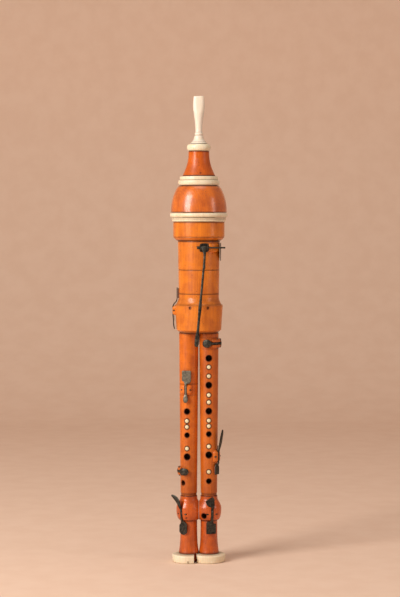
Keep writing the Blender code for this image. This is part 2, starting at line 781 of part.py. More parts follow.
def make_windcap():
    """The windcap: base ring, hollow bulb, middle ring, cone and top ring."""
    socket = COLLAR_TENON_RADIUS + GAP
    bore = CONE_TENON_RADIUS + GAP
    throat = MOUTHPIECE_TENON_RADIUS + GAP
    stock_tiers = ((1.0, 0.40, STOCK_RING_RADIUS), (0.34, 0.0, STOCK_RING_RADIUS - 0.5 * MM))
    rounded_ring("stock_ring", STOCK_RING_LOW, STOCK_RING_HEIGHT, socket, stock_tiers, STOCK_SIDES)
    base_tiers = ((1.0, 0.0, BASE_RING_RADIUS),)
    rounded_ring("cap_base_ring", BASE_RING_LOW, BASE_RING_HEIGHT, socket, base_tiers, STOCK_SIDES)
    middle_tiers = (
        (1.0, 0.58, MIDDLE_RING_RADIUS - 1.7 * MM),
        (0.52, 0.0, MIDDLE_RING_RADIUS),
    )
    rounded_ring("cap_middle_ring", MIDDLE_RING_LOW, MIDDLE_RING_HEIGHT, bore, middle_tiers, RING_SIDES)
    top_tiers = ((1.0, 0.0, TOP_RING_RADIUS),)
    rounded_ring("cap_top_ring", TOP_RING_LOW, TOP_RING_HEIGHT, throat, top_tiers, PIPE_SIDES)

    ledge = BULB_LOW + CAP_SOCKET_DEPTH
    swell = BULB_RADIUS - BULB_NECK_RADIUS
    bulb = []
    for share, grow in ((1.0, 0.0), (0.89, 0.29), (0.72, 0.56), (0.56, 0.76), (0.4, 0.88), (0.2, 0.97)):
        bulb.append((BULB_NECK_RADIUS + swell * grow, BULB_LOW + BULB_HEIGHT * share))
    bulb += [
        (BULB_RADIUS, BULB_LOW),
        (socket, BULB_LOW),
        (socket, ledge),
        (bore, ledge),
        (bore, BULB_TOP),
    ]
    finish("cap_bulb", turned("cap_bulb", bulb, STOCK_SIDES), "boxwood")

    flare = CONE_FOOT_RADIUS - CONE_NECK_RADIUS
    counterbore = MOUTHPIECE_LOW - MOUTHPIECE_TENON_LENGTH - GAP
    cone = [(CONE_NECK_RADIUS, CONE_TOP)]
    for share, grow in ((0.8, 0.02), (0.6, 0.13), (0.4, 0.34), (0.2, 0.65)):
        cone.append((CONE_NECK_RADIUS + flare * grow, CONE_LOW + CONE_HEIGHT * share))
    cone += [
        (CONE_FOOT_RADIUS, CONE_LOW),
        (CONE_TENON_RADIUS, CONE_LOW),
        (CONE_TENON_RADIUS, BULB_TOP - CONE_TENON_BELOW),
        (CONE_BORE_RADIUS, BULB_TOP - CONE_TENON_BELOW),
        (CONE_BORE_RADIUS, counterbore),
        (throat, counterbore),
        (throat, CONE_TOP),
    ]
    finish("cap_cone", turned("cap_cone", cone, RING_SIDES), "boxwood")


def make_mouthpiece():
    """The ivory beak: round at its bell and waist, flat at its tip, with a bore down to a tenon."""
    low = MOUTHPIECE_LOW
    top = low + MOUTHPIECE_HEIGHT
    bore = MOUTHPIECE_BORE_RADIUS
    tenon = MOUTHPIECE_TENON_RADIUS
    tenon_low = low - MOUTHPIECE_TENON_LENGTH
    outer = [
        (BEAK_TIP_HALF_WIDTH - 0.5 * MM, BEAK_TIP_HALF_DEPTH - 0.5 * MM, top),
        (BEAK_TIP_HALF_WIDTH, BEAK_TIP_HALF_DEPTH, top - 0.8 * MM),
        (BEAK_HALF_WIDTH, BEAK_TIP_HALF_DEPTH + 0.9 * MM, top - 6.5 * MM),
        (BEAK_HALF_WIDTH, BEAK_TIP_HALF_DEPTH + 1.7 * MM, top - 13 * MM),
        (5.4 * MM, 4.9 * MM, top - 18 * MM),
        (4.6 * MM, 4.6 * MM, top - 24 * MM),
        (3.9 * MM, 3.9 * MM, top - 31 * MM),
        (3.65 * MM, 3.65 * MM, low + 12.8 * MM),
        (4.3 * MM, 4.3 * MM, low + 11.6 * MM),
        (4.3 * MM, 4.3 * MM, low + 9.6 * MM),
        (4.5 * MM, 4.5 * MM, low + 8.7 * MM),
        (5.4 * MM, 5.4 * MM, low + 4.9 * MM),
        (7.3 * MM, 7.3 * MM, low + 2.3 * MM),
        (8.4 * MM, 8.4 * MM, low + 1.3 * MM),
        (8.4 * MM, 8.4 * MM, low),
        (tenon, tenon, low),
        (tenon, tenon, tenon_low),
        (bore, bore, tenon_low),
        (bore, bore, top - 18 * MM),
        (2.9 * MM, 0.9 * MM, top),
    ]
    sides = BORE_SIDES
    loops = []
    for half_width, half_depth, height in outer:
        loop = []
        for i in range(sides):
            turn = 2 * math.pi * i / sides
            loop.append(Vector((half_width * math.cos(turn), half_depth * math.sin(turn), height)))
        loops.append(loop)
    return finish("mouthpiece", lofted("mouthpiece", loops, hollow=True), "ivory")


def make_pad(key, name, centre, size, normal=(0.0, -1.0, 0.0)):
    """A leather pad: a soft-cornered slab whose middle is centre and whose thin side is normal."""
    width, height = size
    corner = 0.9 * MM
    outline = []
    for turn_x, turn_z in ((1, 1), (-1, 1), (-1, -1), (1, -1)):
        x = turn_x * width / 2
        z = turn_z * height / 2
        corner_points = [(x, z - turn_z * corner), (x - turn_x * corner, z)]
        if turn_x * turn_z < 0:
            corner_points.reverse()
        outline += corner_points
    normal = Vector(normal).normalized()
    across = Vector((0.0, 0.0, 1.0)).cross(normal).normalized()
    half = normal * PAD_THICKNESS / 2
    loops = []
    for offset in (-half, half):
        loops.append([Vector(centre) + offset + across * x + Vector((0.0, 0.0, z)) for x, z in outline])
    return finish(name, lofted(name, loops), "leather", key, smooth=False)


def make_spring(key, name, stations, normal_at=None):
    rows = [(point, SPRING_WIDTH, SPRING_THICKNESS) for point in stations]
    return finish(name, strip(name, rows, normal_at, chamfered=False), "steel", key, smooth=False)


def add_lug(lever, name, axis, half_length):
    """Give a lever its hinge barrel and drill it for the pin."""
    axis = Vector(axis)
    half_length -= 0.1 * MM
    matrix = lever.parent.matrix_world
    lug = tool(name + "_lug", rod(name + "_lug", LUG_RADIUS, -axis * half_length, axis * half_length))
    lug.matrix_world = matrix
    join(lever, lug)
    reach = axis * (half_length + 2 * MM)
    drill = tool(name + "_lug_bore", rod(name + "_lug_bore", PIN_RADIUS + PIN_CLEARANCE, -reach, reach))
    drill.matrix_world = matrix
    cut(lever, drill)


def add_pin(body, key, name, axis, half_length):
    """A steel pin on the hinge axis, and the hole for it through the block's two ears."""
    axis = Vector(axis)
    pin = rod(name, PIN_RADIUS, -axis * half_length, axis * half_length)
    reach = axis * (half_length + 4 * MM)
    hole = rod(name + "_hole", PIN_RADIUS + PIN_CLEARANCE, -reach, reach)
    cut(body, tool(name + "_hole", hole, key.matrix_world))
    return finish(name, pin, "steel", key)


def seat_tool(name, centre_x, azimuth, radius, height, half_width, half_height, reach=6 * MM, shift=0.0):
    """A flat cut into the round body, on which a pad lies, moved sideways by the shift."""
    matrix = hinge_matrix(centre_x, azimuth, radius, height)
    corners = ((shift - half_width, -reach, -half_height), (shift + half_width, 0.0, half_height))
    return tool(name, block(name, *corners), matrix)


def cut_vent(body, name, centre_x, azimuth, height, surface, shift=0.0):
    """The tone hole under the middle of a pad, from the bore out through the flat seat."""
    turned_azimuth = azimuth + math.degrees(shift / surface)
    vent = radial_rod(
        name + "_vent", centre_x, turned_azimuth, height, BORE_END_RADIUS / 2, surface + 2 * MM, VENT_RADIUS
    )
    cut(body, tool(name + "_vent", vent))


def make_upright_key(body, name, centre_x, azimuth, hinge_z, surface, rows, plate, spring_rows):
    """A key whose lever runs along the pipe over a hinge in a block, with touch and pad plate.

    rows and spring_rows give heights from the hinge and radii from the surface, in mm.
    plate is (lowest, highest, shift, width) of the pad plate from the hinge, in mm.
    """
    hinge_radius = surface + LUG_HEIGHT
    key = hinge_empty(name + "_hinge", centre_x, azimuth, hinge_radius, hinge_z)
    base = surface / MM
    lifted = [(z, base + out, shift, width, thick) for z, out, shift, width, thick in rows]
    lever = finish(name, strip(name, straight_stations(lifted, hinge_radius)), "tarnished_silver", key)
    add_lug(lever, name, (1.0, 0.0, 0.0), LEVER_WIDTH / 2)
    low, high, shift, width = plate
    shift = shift * MM
    middle = (low + high) / 2 * MM
    half_height = (high - low) / 2 * MM
    seat = surface - SEAT_DEPTH
    seat_name = name + "_seat"
    seat_z = hinge_z + middle
    cut(body, seat_tool(seat_name, centre_x, azimuth, seat, seat_z, 5 * MM, half_height, shift=shift))
    cut_vent(body, name, centre_x, azimuth, seat_z, surface, shift)
    pad_radius = seat + GAP + PAD_THICKNESS / 2
    trim = 0.4 * MM
    pad_size = (width * MM - trim, 2 * half_height - 2 * trim)
    make_pad(key, name + "_pad", (shift, hinge_radius - pad_radius, middle), pad_size)
    points = [Vector((0.0, hinge_radius - (base + out) * MM, z * MM)) for z, out in spring_rows]
    make_spring(key, name + "_spring", points)
    return key


def add_block(body, name, centre_x, azimuth, half_angle, hinge_z, half_height, surface, lean=0):
    """Leave a block standing on the body and cut an upright slot through it for the lever.

    The lean turns the block about the body's axis without its slot, in degrees.
    """
    inner = surface - 2 * MM
    outer = surface + BLOCK_HEIGHT
    mesh = saddle(
        name + "_block", centre_x, azimuth + lean, half_angle, hinge_z, half_height, inner,
        surface - BLOCK_ROOT, outer,
    )
    join(body, tool(name + "_block", mesh))
    cut_slot(body, name, centre_x, azimuth, hinge_z, half_height + 1 * MM, surface - 0.4 * MM)


def cut_slot(body, name, centre_x, azimuth, hinge_z, half_height, floor, width=LEVER_WIDTH):
    half = width / 2 + SLOT_CLEARANCE
    matrix = hinge_matrix(centre_x, azimuth, floor, hinge_z)
    corners = ((-half, -8 * MM, -half_height), (half, 0.0, half_height))
    cut(body, tool(name + "_slot", block(name + "_slot", *corners), matrix))


def make_plate_key(pipe):
    """The front key of the left pipe: a square plate above and a spoon-shaped touch below."""
    name = "left_plate_key"
    hinge_z = PIPE_TOP - PLATE_KEY_DROP
    surface = pipe_radius(hinge_z)
    add_block(pipe, name, LEFT_X, PLATE_KEY_AZIMUTH, 38, hinge_z, 5.6 * MM, surface)
    plate_out = 1.8
    lever_out = LEVER_HEIGHT / MM
    rows = (
        (20.3, plate_out, 0.6, 9.4, 1.0),
        (19.4, plate_out, 0.6, 10.0, 1.0),
        (10.0, plate_out, 0.6, 10.0, 1.0),
        (8.0, plate_out, 0.4, 8.0, 1.0),
        (6.9, plate_out + 0.3, 0.0, 3.4, 1.1),
        (5.8, lever_out, 0.0, 2.3, 1.3),
        (-5.4, lever_out, 0.0, 2.3, 1.3),
        (-7.0, lever_out + 0.4, 0.0, 4.0, 1.2),
        (-8.6, lever_out + 0.7, 0.0, 5.2, 1.1),
        (-11.0, lever_out + 0.9, 0.0, 5.0, 1.1),
        (-13.0, lever_out + 1.0, 0.0, 3.6, 1.0),
        (-13.7, lever_out + 1.0, 0.0, 1.8, 0.9),
    )
    spring = ((-3.0, 1.35), (-6.0, 1.1), (-9.5, 0.5))
    key = make_upright_key(
        pipe, name, LEFT_X, PLATE_KEY_AZIMUTH, hinge_z, surface, rows, (8.6, 20.1, 0.6, 10.0), spring
    )
    add_pin(pipe, key, name + "_pin", (1.0, 0.0, 0.0), 5.3 * MM)


def make_right_side_key(pipe):
    """The side key of the right pipe: a long blade touch above and a square plate below."""
    name = "right_side_key"
    hinge_z = PIPE_TOP - RIGHT_SIDE_KEY_DROP
    surface = pipe_radius(hinge_z)
    add_block(pipe, name, RIGHT_X, RIGHT_SIDE_KEY_AZIMUTH, 33, hinge_z, 6.8 * MM, surface, 2)
    plate_out = 1.8
    lever_out = LEVER_HEIGHT / MM
    rows = (
        (-19.0, plate_out, -1.2, 7.2, 1.0),
        (-9.6, plate_out, -1.2, 7.2, 1.0),
        (-8.3, plate_out + 0.3, -0.4, 3.4, 1.1),
        (-7.0, lever_out, 0.0, 2.3, 1.3),
        (4.0, lever_out, 0.0, 2.3, 1.3),
        (7.0, lever_out + 0.7, 0.0, 2.8, 1.3),
        (11.0, lever_out + 1.8, 0.0, 4.2, 1.3),
        (16.0, lever_out + 2.9, 0.0, 5.2, 1.2),
        (22.0, lever_out + 4.0, 0.0, 5.0, 1.2),
        (26.5, lever_out + 4.9, 0.0, 3.8, 1.1),
        (28.8, lever_out + 5.3, 0.0, 1.8, 1.0),
    )
    spring = ((3.4, 1.35), (7.5, 1.1), (12.0, 0.5))
    key = make_upright_key(
        pipe, name, RIGHT_X, RIGHT_SIDE_KEY_AZIMUTH, hinge_z, surface, rows, (-18.8, -9.6, -1.2, 7.2), spring
    )
    add_pin(pipe, key, name + "_pin", (1.0, 0.0, 0.0), 5.3 * MM)


def make_foot_key(foot, side, centre_x, azimuth, touch, plate_rows, plate):
    """A key hinged in a slot through the foot's bulge, with a horn touch above and a plate below."""
    name = side + "_foot_key"
    hinge_z = FOOT_TOP - FOOT_KEY_DROP
    surface = FOOT_HINGE_RADIUS - LUG_HEIGHT
    base = surface / MM
    floor = surface - 0.4 * MM
    cut_slot(foot, name, centre_x, azimuth, hinge_z + 4 * MM, 14 * MM, floor)
    lever_out = LEVER_HEIGHT / MM
    middle = (
        (-5.0, lever_out, 0.0, 2.3, 1.3),
        (3.0, lever_out, 0.0, 2.3, 1.3),
    )
    rows = plate_rows + middle + touch
    hinge_radius = FOOT_HINGE_RADIUS
    key = hinge_empty(name + "_hinge", centre_x, azimuth, hinge_radius, hinge_z)
    lifted = [(z, base + out, shift, width, thick) for z, out, shift, width, thick in rows]
    lever = finish(name, strip(name, straight_stations(lifted, hinge_radius)), "tarnished_silver", key)
    add_lug(lever, name, (1.0, 0.0, 0.0), LEVER_WIDTH / 2)
    low, high, shift, width = plate
    shift = shift * MM
    middle_z = (low + high) / 2 * MM
    half_height = (high - low) / 2 * MM
    seat = foot_radius_at_plate(hinge_z + middle_z) - SEAT_DEPTH
    seat_name = name + "_seat"
    plate_z = hinge_z + middle_z
    cut(foot, seat_tool(seat_name, centre_x, azimuth, seat, plate_z, 5.4 * MM, half_height, 3 * MM, shift))
    cut_vent(foot, name, centre_x, azimuth, plate_z, surface, shift)
    pad_radius = seat + GAP + PAD_THICKNESS / 2
    trim = 0.8 * MM
    pad_size = (width * MM - trim, 2 * half_height - trim)
    make_pad(key, name + "_pad", (shift, hinge_radius - pad_radius, middle_z), pad_size)
    spring_rows = ((2.8, 1.35), (5.0, 1.2), (8.0, 0.3))
    points = [Vector((0.0, hinge_radius - (base + out) * MM, z * MM)) for z, out in spring_rows]
    make_spring(key, name + "_spring", points)
    add_pin(foot, key, name + "_pin", (1.0, 0.0, 0.0), 5.4 * MM)


def make_foot_keys(left_foot, right_foot):
    plate_out = 0.85
    left_touch = (
        (5.0, 3.6, 0.1, 2.4, 1.3),
        (7.2, 5.0, -0.2, 2.9, 1.2),
        (9.5, 5.5, -0.6, 3.8, 1.2),
        (12.5, 5.7, -1.8, 4.8, 1.2),
        (15.8, 6.0, -4.2, 5.2, 1.1),
        (18.2, 6.5, -7.2, 4.0, 1.1),
        (19.6, 6.9, -10.2, 2.0, 1.0),
    )
    left_plate = (
        (-22.0, plate_out, 1.0, 4.4, 1.0),
        (-19.0, plate_out, 1.0, 10.0, 1.0),
        (-11.6, plate_out, 1.0, 10.0, 1.0),
        (-8.6, plate_out + 0.4, 0.3, 4.4, 1.0),
        (-7.2, lever_step(plate_out), 0.0, 2.3, 1.2),
    )
    right_touch = (
        (4.4, 3.4, 0.0, 2.3, 1.3),
        (6.4, 4.9, 0.0, 2.6, 1.2),
        (8.4, 5.4, -0.3, 4.2, 1.2),
        (10.6, 5.5, -1.4, 7.4, 1.2),
        (12.8, 5.5, -2.6, 9.4, 1.2),
        (15.0, 5.6, -3.2, 10.0, 1.1),
        (16.6, 5.7, -3.6, 8.6, 1.1),
        (17.4, 5.8, -4.0, 5.8, 1.0),
    )
    right_plate = (
        (-21.1, plate_out, -0.7, 10.6, 1.0),
        (-9.4, plate_out, -0.7, 10.6, 1.0),
        (-8.7, plate_out + 0.3, -0.2, 4.0, 1.0),
        (-7.2, lever_step(plate_out), 0.0, 2.3, 1.2),
    )
    make_foot_key(
        left_foot, "left", LEFT_X, LEFT_FOOT_KEY_AZIMUTH, left_touch, left_plate, (-20.5, -10.0, 1.0, 8.4)
    )
    make_foot_key(
        right_foot, "right", RIGHT_X, RIGHT_FOOT_KEY_AZIMUTH, right_touch, right_plate, (-20.9, -9.6, -0.7, 10.0)
    )


def lever_step(plate_out):
    """The radius half way between a pad plate and the lever, in mm from the surface."""
    return (plate_out + LEVER_HEIGHT / MM) / 2


def make_cross_key(
    pipe, name, centre_x, azimuth, hinge_z, block_shape, touch, spring_azimuths, pad_azimuth, pad_size
):
    """A key whose lever runs around the pipe on an upright pin, with its touch at the front.

    block_shape is (middle azimuth, half angle, half height) of the ring block it works in.
    touch is a list of (azimuth, radius from the surface, width, thickness) from the hinge outwards.
    """
    surface = pipe_radius(hinge_z)
    hinge_radius = surface + LUG_HEIGHT
    outer = surface + BLOCK_HEIGHT
    middle, half_angle, half_height = block_shape
    mesh = saddle(
        name + "_block", centre_x, middle, half_angle, hinge_z, half_height,
        surface - 2 * MM, surface - BLOCK_ROOT, outer,
    )
    cut_vent(pipe, name, centre_x, pad_azimuth, hinge_z, surface)
    join(pipe, tool(name + "_block", mesh))
    half_slot = LEVER_WIDTH / 2 + SLOT_CLEARANCE
    slot = band(
        name + "_slot", centre_x, middle, half_angle + 8,
        hinge_z - half_slot, hinge_z + half_slot, surface - SEAT_DEPTH - 0.4 * MM, outer + 3 * MM,
    )
    cut(pipe, tool(name + "_slot", slot))

    key = hinge_empty(name + "_hinge", centre_x, azimuth, hinge_radius, hinge_z)
    axis_point = Vector((0.0, hinge_radius, 0.0))

    def around(angle, out):
        turn = math.radians(angle - azimuth)
        radius = surface + out
        return axis_point + Vector((radius * math.sin(turn), -radius * math.cos(turn), 0.0))

    width, height = pad_size
    seat = surface - SEAT_DEPTH
    plate_radius = seat + 2 * GAP + PAD_THICKNESS + PLATE_THICKNESS / 2
    turn = math.radians(pad_azimuth - azimuth)
    pad_out = Vector((math.sin(turn), -math.cos(turn), 0.0))

    def outward(point):
        flat = point - axis_point
        if abs(flat.dot(pad_out) - plate_radius) < 0.01 * MM:
            return pad_out
        return Vector((flat.x, flat.y, 0.0)).normalized()

    sign = 1 if pad_azimuth > azimuth else -1
    tangent = Vector((math.cos(turn), math.sin(turn), 0.0)) * sign
    plate_middle = axis_point + pad_out * plate_radius
    near = plate_middle - tangent * width / 2
    far = plate_middle + tangent * width / 2
    lift = LEVER_HEIGHT
    share = 0.35
    stations = [
        (far, height, PLATE_THICKNESS),
        (near, height, PLATE_THICKNESS),
        (near - tangent * 0.5 * MM + pad_out * 0.3 * MM, LEVER_WIDTH + 0.6 * MM, PLATE_THICKNESS),
        (around(azimuth + share * (pad_azimuth - azimuth), lift), LEVER_WIDTH, LEVER_THICKNESS),
        (around(azimuth, lift), LEVER_WIDTH, LEVER_THICKNESS),
    ]
    stations += [(around(angle, out), wide, thick) for angle, out, wide, thick in touch]
    lever = finish(name, strip(name, stations, outward), "tarnished_silver", key)
    add_lug(lever, name, (0.0, 0.0, 1.0), LEVER_WIDTH / 2)
    half_seat = (width / 2 + 1 * MM, height / 2 + 0.5 * MM)
    cut(pipe, seat_tool(name + "_seat", centre_x, pad_azimuth, seat, hinge_z, *half_seat))
    pad_middle = axis_point + pad_out * (seat + GAP + PAD_THICKNESS / 2)
    trim = 0.6 * MM
    make_pad(key, name + "_pad", pad_middle, (width - trim, height - trim), pad_out)
    first, middle, last = spring_azimuths
    rest_out = LEVER_HEIGHT - LEVER_THICKNESS / 2 - GAP - SPRING_THICKNESS / 2
    points = [
        around(first, rest_out),
        around(middle, rest_out - 0.2 * MM),
        around(last, 0.55 * MM),
    ]
    make_spring(key, name + "_spring", points, outward)
    add_pin(pipe, key, name + "_pin", (0.0, 0.0, 1.0), half_height)


def make_cross_keys(left_pipe, right_pipe):
    lever = LEVER_HEIGHT
    right_touch = (
        (28, lever, 2.3 * MM, 1.3 * MM),
        (11, lever + 0.3 * MM, 2.5 * MM, 1.3 * MM),
        (6, lever + 0.5 * MM, 6.2 * MM, 1.3 * MM),
        (-4, lever + 0.6 * MM, 8.8 * MM, 1.3 * MM),
        (-16, lever + 0.6 * MM, 8.6 * MM, 1.3 * MM),
        (-25, lever + 0.5 * MM, 6.4 * MM, 1.2 * MM),
        (-30, lever + 0.4 * MM, 3.0 * MM, 1.0 * MM),
    )
    make_cross_key(
        right_pipe, "right_top_key", RIGHT_X, TOP_KEY_AZIMUTH, PIPE_TOP - TOP_KEY_DROP,
        (46, 36, 5.6 * MM), right_touch, (36, 26, 4), 98, (8.0 * MM, 9.4 * MM),
    )
    left_touch = (
        (-52, lever + 0.2 * MM, 2.4 * MM, 1.3 * MM),
        (-48, lever + 0.4 * MM, 5.4 * MM, 1.4 * MM),
        (-41, lever + 0.5 * MM, 7.2 * MM, 1.6 * MM),
        (-30, lever + 0.7 * MM, 7.8 * MM, 1.8 * MM),
        (-15, lever + 0.6 * MM, 7.2 * MM, 1.6 * MM),
        (-5, lever + 0.4 * MM, 5.0 * MM, 1.3 * MM),
        (-1, lever + 0.3 * MM, 2.2 * MM, 1.0 * MM),
    )
    make_cross_key(
        left_pipe, "left_side_key", LEFT_X, LEFT_SIDE_KEY_AZIMUTH, PIPE_TOP - LEFT_SIDE_KEY_DROP,
        (-71, 20, 4.8 * MM), left_touch, (-55, -46, -28), -120, (8.0 * MM, 8.6 * MM),
    )


def make_left_cutter(stock):
    """The left wind cutter: a flap over the left mouth, hinged in a block on the drum's side."""
    name = "left_cutter"
    hinge_z = STOCK_LOW + DRUM_CHAMFER + LEFT_CUTTER_RISE
    azimuth = -90
    radius = drum_radius(hinge_z) + LEFT_CUTTER_STAND
    block_inner = drum_radius(hinge_z) - 2 * MM
    block_base = drum_radius(hinge_z) - 0.5 * MM
    block_outer = radius + 1.7 * MM
    mesh = saddle(
        name + "_block", 0.0, azimuth, 13, hinge_z, 5.2 * MM, block_inner, block_base, block_outer
    )
    join(stock, tool(name + "_block", mesh))
    cut_slot(stock, name, 0.0, azimuth, hinge_z + 1 * MM, 8 * MM, radius - LUG_RADIUS - 0.4 * MM, 2.6 * MM)
    key = hinge_empty(name + "_hinge", 0.0, azimuth, radius, hinge_z)
    seat = barrel_radius(BARREL_LOW) - SEAT_DEPTH
    plate = seat + 2 * GAP + PAD_THICKNESS + PLATE_THICKNESS / 2
    flap = plate / MM
    hinge = radius / MM
    rows = (
        (24.3, flap, 0.0, 4.6, 0.8),
        (23.3, flap, 0.0, 7.4, 1.0),
        (13.0, flap, 0.0, 7.4, 1.0),
        (10.4, flap + 0.5, 0.0, 4.2, 1.1),
        (6.8, hinge, 0.0, 2.6, 1.2),
        (3.8, hinge + 1.2, 0.0, 2.6, 1.2),
        (-3.4, hinge + 1.2, 0.0, 2.6, 1.2),
        (-6.4, hinge + 1.0, 0.0, 3.0, 1.2),
        (-9.4, hinge + 0.7, 0.0, 5.0, 1.2),
        (-15.0, hinge + 0.4, 0.0, 6.0, 1.2),
        (-18.2, hinge - 0.1, 0.0, 5.6, 1.1),
        (-19.9, hinge - 0.6, 0.0, 4.0, 0.9),
    )
    lever = finish(name, strip(name, straight_stations(rows, radius)), "tarnished_silver", key)
    add_lug(lever, name, (1.0, 0.0, 0.0), 1.3 * MM)
    seat_middle = hinge_z + 18.2 * MM
    cut(stock, seat_tool(name + "_seat", 0.0, azimuth, seat, seat_middle, 4.4 * MM, 6.2 * MM))
    pad_radius = seat + GAP + PAD_THICKNESS / 2
    make_pad(key, name + "_pad", (0.0, radius - pad_radius, 18.2 * MM), (6.8 * MM, 10.6 * MM))
    spring_end = drum_radius(hinge_z - 12 * MM) / MM
    spring_rows = ((-2.6, hinge + 0.25), (-7.0, hinge - 0.2), (-12.0, spring_end + 0.73))
    points = [Vector((0.0, radius - out * MM, z * MM)) for z, out in spring_rows]
    make_spring(key, name + "_spring", points)
    add_pin(stock, key, name + "_pin", (1.0, 0.0, 0.0), 4.8 * MM)


def make_right_cutter(stock):
    """The right wind cutter: a long front lever turning an arbor that carries a side blade."""
    name = "right_cutter"
    hinge_z = BARREL_TOP - RIGHT_CUTTER_DROP
    radius = RIGHT_CUTTER_RADIUS
    surface = barrel_radius(hinge_z)
    key = hinge_empty(name + "_hinge", 0.0, 0, radius, hinge_z)

    pad_mesh = saddle(
        name + "_block", 0.0, 47, 21, hinge_z, 4.7 * MM, surface - 2 * MM, surface, radius - 0.3 * MM
    )
    join(stock, tool(name + "_block", pad_mesh))

    half = KNUCKLE_WIDTH / 2
    rows = (
        (1.4, radius / MM + 0.4, KNUCKLE_X / MM, KNUCKLE_WIDTH / MM - 1.0, 1.4),
        (-1.0, radius / MM + 1.3, KNUCKLE_X / MM, KNUCKLE_WIDTH / MM, 1.6),
        (-4.0, radius / MM + 1.5, KNUCKLE_X / MM + 0.5, 3.8, 1.6),
        (-7.5, radius / MM + 1.8, 6.1, 2.5, 1.6),
        (-25.0, 28.6, 4.75, 2.5, 1.6),
        (-45.0, 30.3, 2.9, 2.6, 1.6),
        (-62.0, 31.2, 1.3, 2.7, 1.6),
        (-90.0, 31.4, -1.35, 3.4, 1.6),
        (-94.0, 31.4, -1.7, 4.5, 1.6),
        (-100.5, 31.4, -2.3, 4.7, 1.5),
        (-102.7, 31.4, -2.5, 3.4, 1.3),
        (-103.6, 31.4, -2.6, 1.6, 1.1),
    )
    lever = finish(name, strip(name, straight_stations(rows, radius)), "tarnished_silver", key)
    knuckle = rod(
        name + "_knuckle", KNUCKLE_RADIUS, (KNUCKLE_X - half, 0.0, 0.0), (KNUCKLE_X + half, 0.0, 0.0)
    )
    arbor_start = KNUCKLE_X - half - BRACKET_EAR - 2 * GAP
    arbor = rod(name + "_arbor", ARBOR_RADIUS, (arbor_start, 0.0, 0.0), (ARBOR_END_X, 0.0, 0.0))
    blade_in = BARREL_TOP_RADIUS + BLADE_GAP
    outline = (
        (-1.4 * MM, -1.6 * MM),
        (-1.4 * MM, 1.4 * MM),
        (2.0 * MM, 2.2 * MM),
        (13.0 * MM, 5.2 * MM),
        (21.0 * MM, 4.6 * MM),
        (28.0 * MM, 3.4 * MM),
        (29.4 * MM, 1.6 * MM),
        (29.4 * MM, -12.4 * MM),
        (27.6 * MM, -14.2 * MM),
        (21.0 * MM, -14.2 * MM),
        (17.0 * MM, -10.0 * MM),
        (6.0 * MM, -3.4 * MM),
    )
    loops = [
        [Vector((x, y, z)) for y, z in outline] for x in (blade_in, blade_in + BLADE_THICKNESS)
    ]
    blade = lofted(name + "_blade", loops)
    for ending, mesh in (("_knuckle", knuckle), ("_arbor", arbor), ("_blade", blade)):
        join(lever, tool(name + ending, mesh, key.matrix_world))

    ear_gap = half + GAP
    ear_out = ear_gap + BRACKET_EAR
    base_half = math.degrees(math.asin((ear_out + 0.2 * MM) / surface))
    base_azimuth = math.degrees(math.asin(KNUCKLE_X / surface))
    base = band(
        name + "_bracket", 0.0, base_azimuth, base_half, hinge_z - 4.6 * MM, hinge_z + 4.6 * MM,
        surface + GAP, surface + GAP + 0.8 * MM,
    )
    bracket = finish(name + "_bracket", base, "tarnished_silver", None, smooth=False)
    for side, sign in (("left", -1), ("right", 1)):
        near = KNUCKLE_X + sign * ear_gap
        far = KNUCKLE_X + sign * ear_out
        low_x = min(near, far)
        high_x = max(near, far)
        edge = max(abs(low_x), abs(high_x))
        ear_root = radius - math.sqrt(surface ** 2 - edge ** 2) - 0.75 * MM
        ear_name = f"{name}_{side}_ear"
        ear = block(ear_name, (low_x, -1.9 * MM, -2.4 * MM), (high_x, ear_root, 2.4 * MM))
        join(bracket, tool(ear_name, ear, key.matrix_world))
    drill = rod(
        name + "_arbor_hole", ARBOR_RADIUS + PIN_CLEARANCE,
        (KNUCKLE_X - 2 * ear_out, 0.0, 0.0), (KNUCKLE_X + 2 * ear_out, 0.0, 0.0),
    )
    cut(bracket, tool(name + "_arbor_hole", drill, key.matrix_world))

    spring_rows = ((-7.0, radius / MM + 1.8 - 1.3), (-14.0, 25.4), (-22.0, 22.2))
    points = [
        Vector((6.0 * MM, radius - out * MM, z * MM)) for z, out in spring_rows
    ]
    make_spring(key, name + "_spring", points)


def build():
    remove_old_objects()
    left_foot = make_foot("left", LEFT_X)
    right_foot = make_foot("right", RIGHT_X)
    make_foot_ring("left", LEFT_X, LEFT_RING_RADIUS, LEFT_RING_FLAT)
    make_foot_ring("right", RIGHT_X, RIGHT_RING_RADIUS, RIGHT_RING_FLAT)
    left_pipe = make_pipe("left", LEFT_X)
    right_pipe = make_pipe("right", RIGHT_X)
    make_plate_key(left_pipe)
    make_right_side_key(right_pipe)
    make_cross_keys(left_pipe, right_pipe)
    drill_finger_holes(left_pipe, "left", LEFT_X, LEFT_HOLES)
    drill_finger_holes(right_pipe, "right", RIGHT_X, RIGHT_HOLES)
    make_studs(left_pipe, "left", LEFT_X, LEFT_STUDS, LEFT_STUD_AZIMUTH)
    make_studs(right_pipe, "right", RIGHT_X, RIGHT_STUDS, RIGHT_STUD_AZIMUTH)
    make_foot_keys(left_foot, right_foot)
    hole_z = FOOT_TOP - FOOT_HOLE_DROP
    vent = radial_rod(
        "right_foot_hole", RIGHT_X, FOOT_HOLE_AZIMUTH, hole_z, 2 * MM, BULGE_RADIUS + 2 * MM,
        FOOT_HOLE_DIAMETER / 2,
    )
    cut(right_foot, tool("right_foot_hole", vent))
    stock = make_stock()
    make_left_cutter(stock)
    make_right_cutter(stock)
    cut_windows(stock)
    drill_peg_holes(stock)
    make_fipple("left", LEFT_X, -1, LEFT_MOUTH_DROP)
    make_fipple("right", RIGHT_X, 1, RIGHT_MOUTH_DROP)
    make_collar()
    make_sponge()
    make_windcap()
    make_mouthpiece()
    bpy.context.view_layer.update()


build()
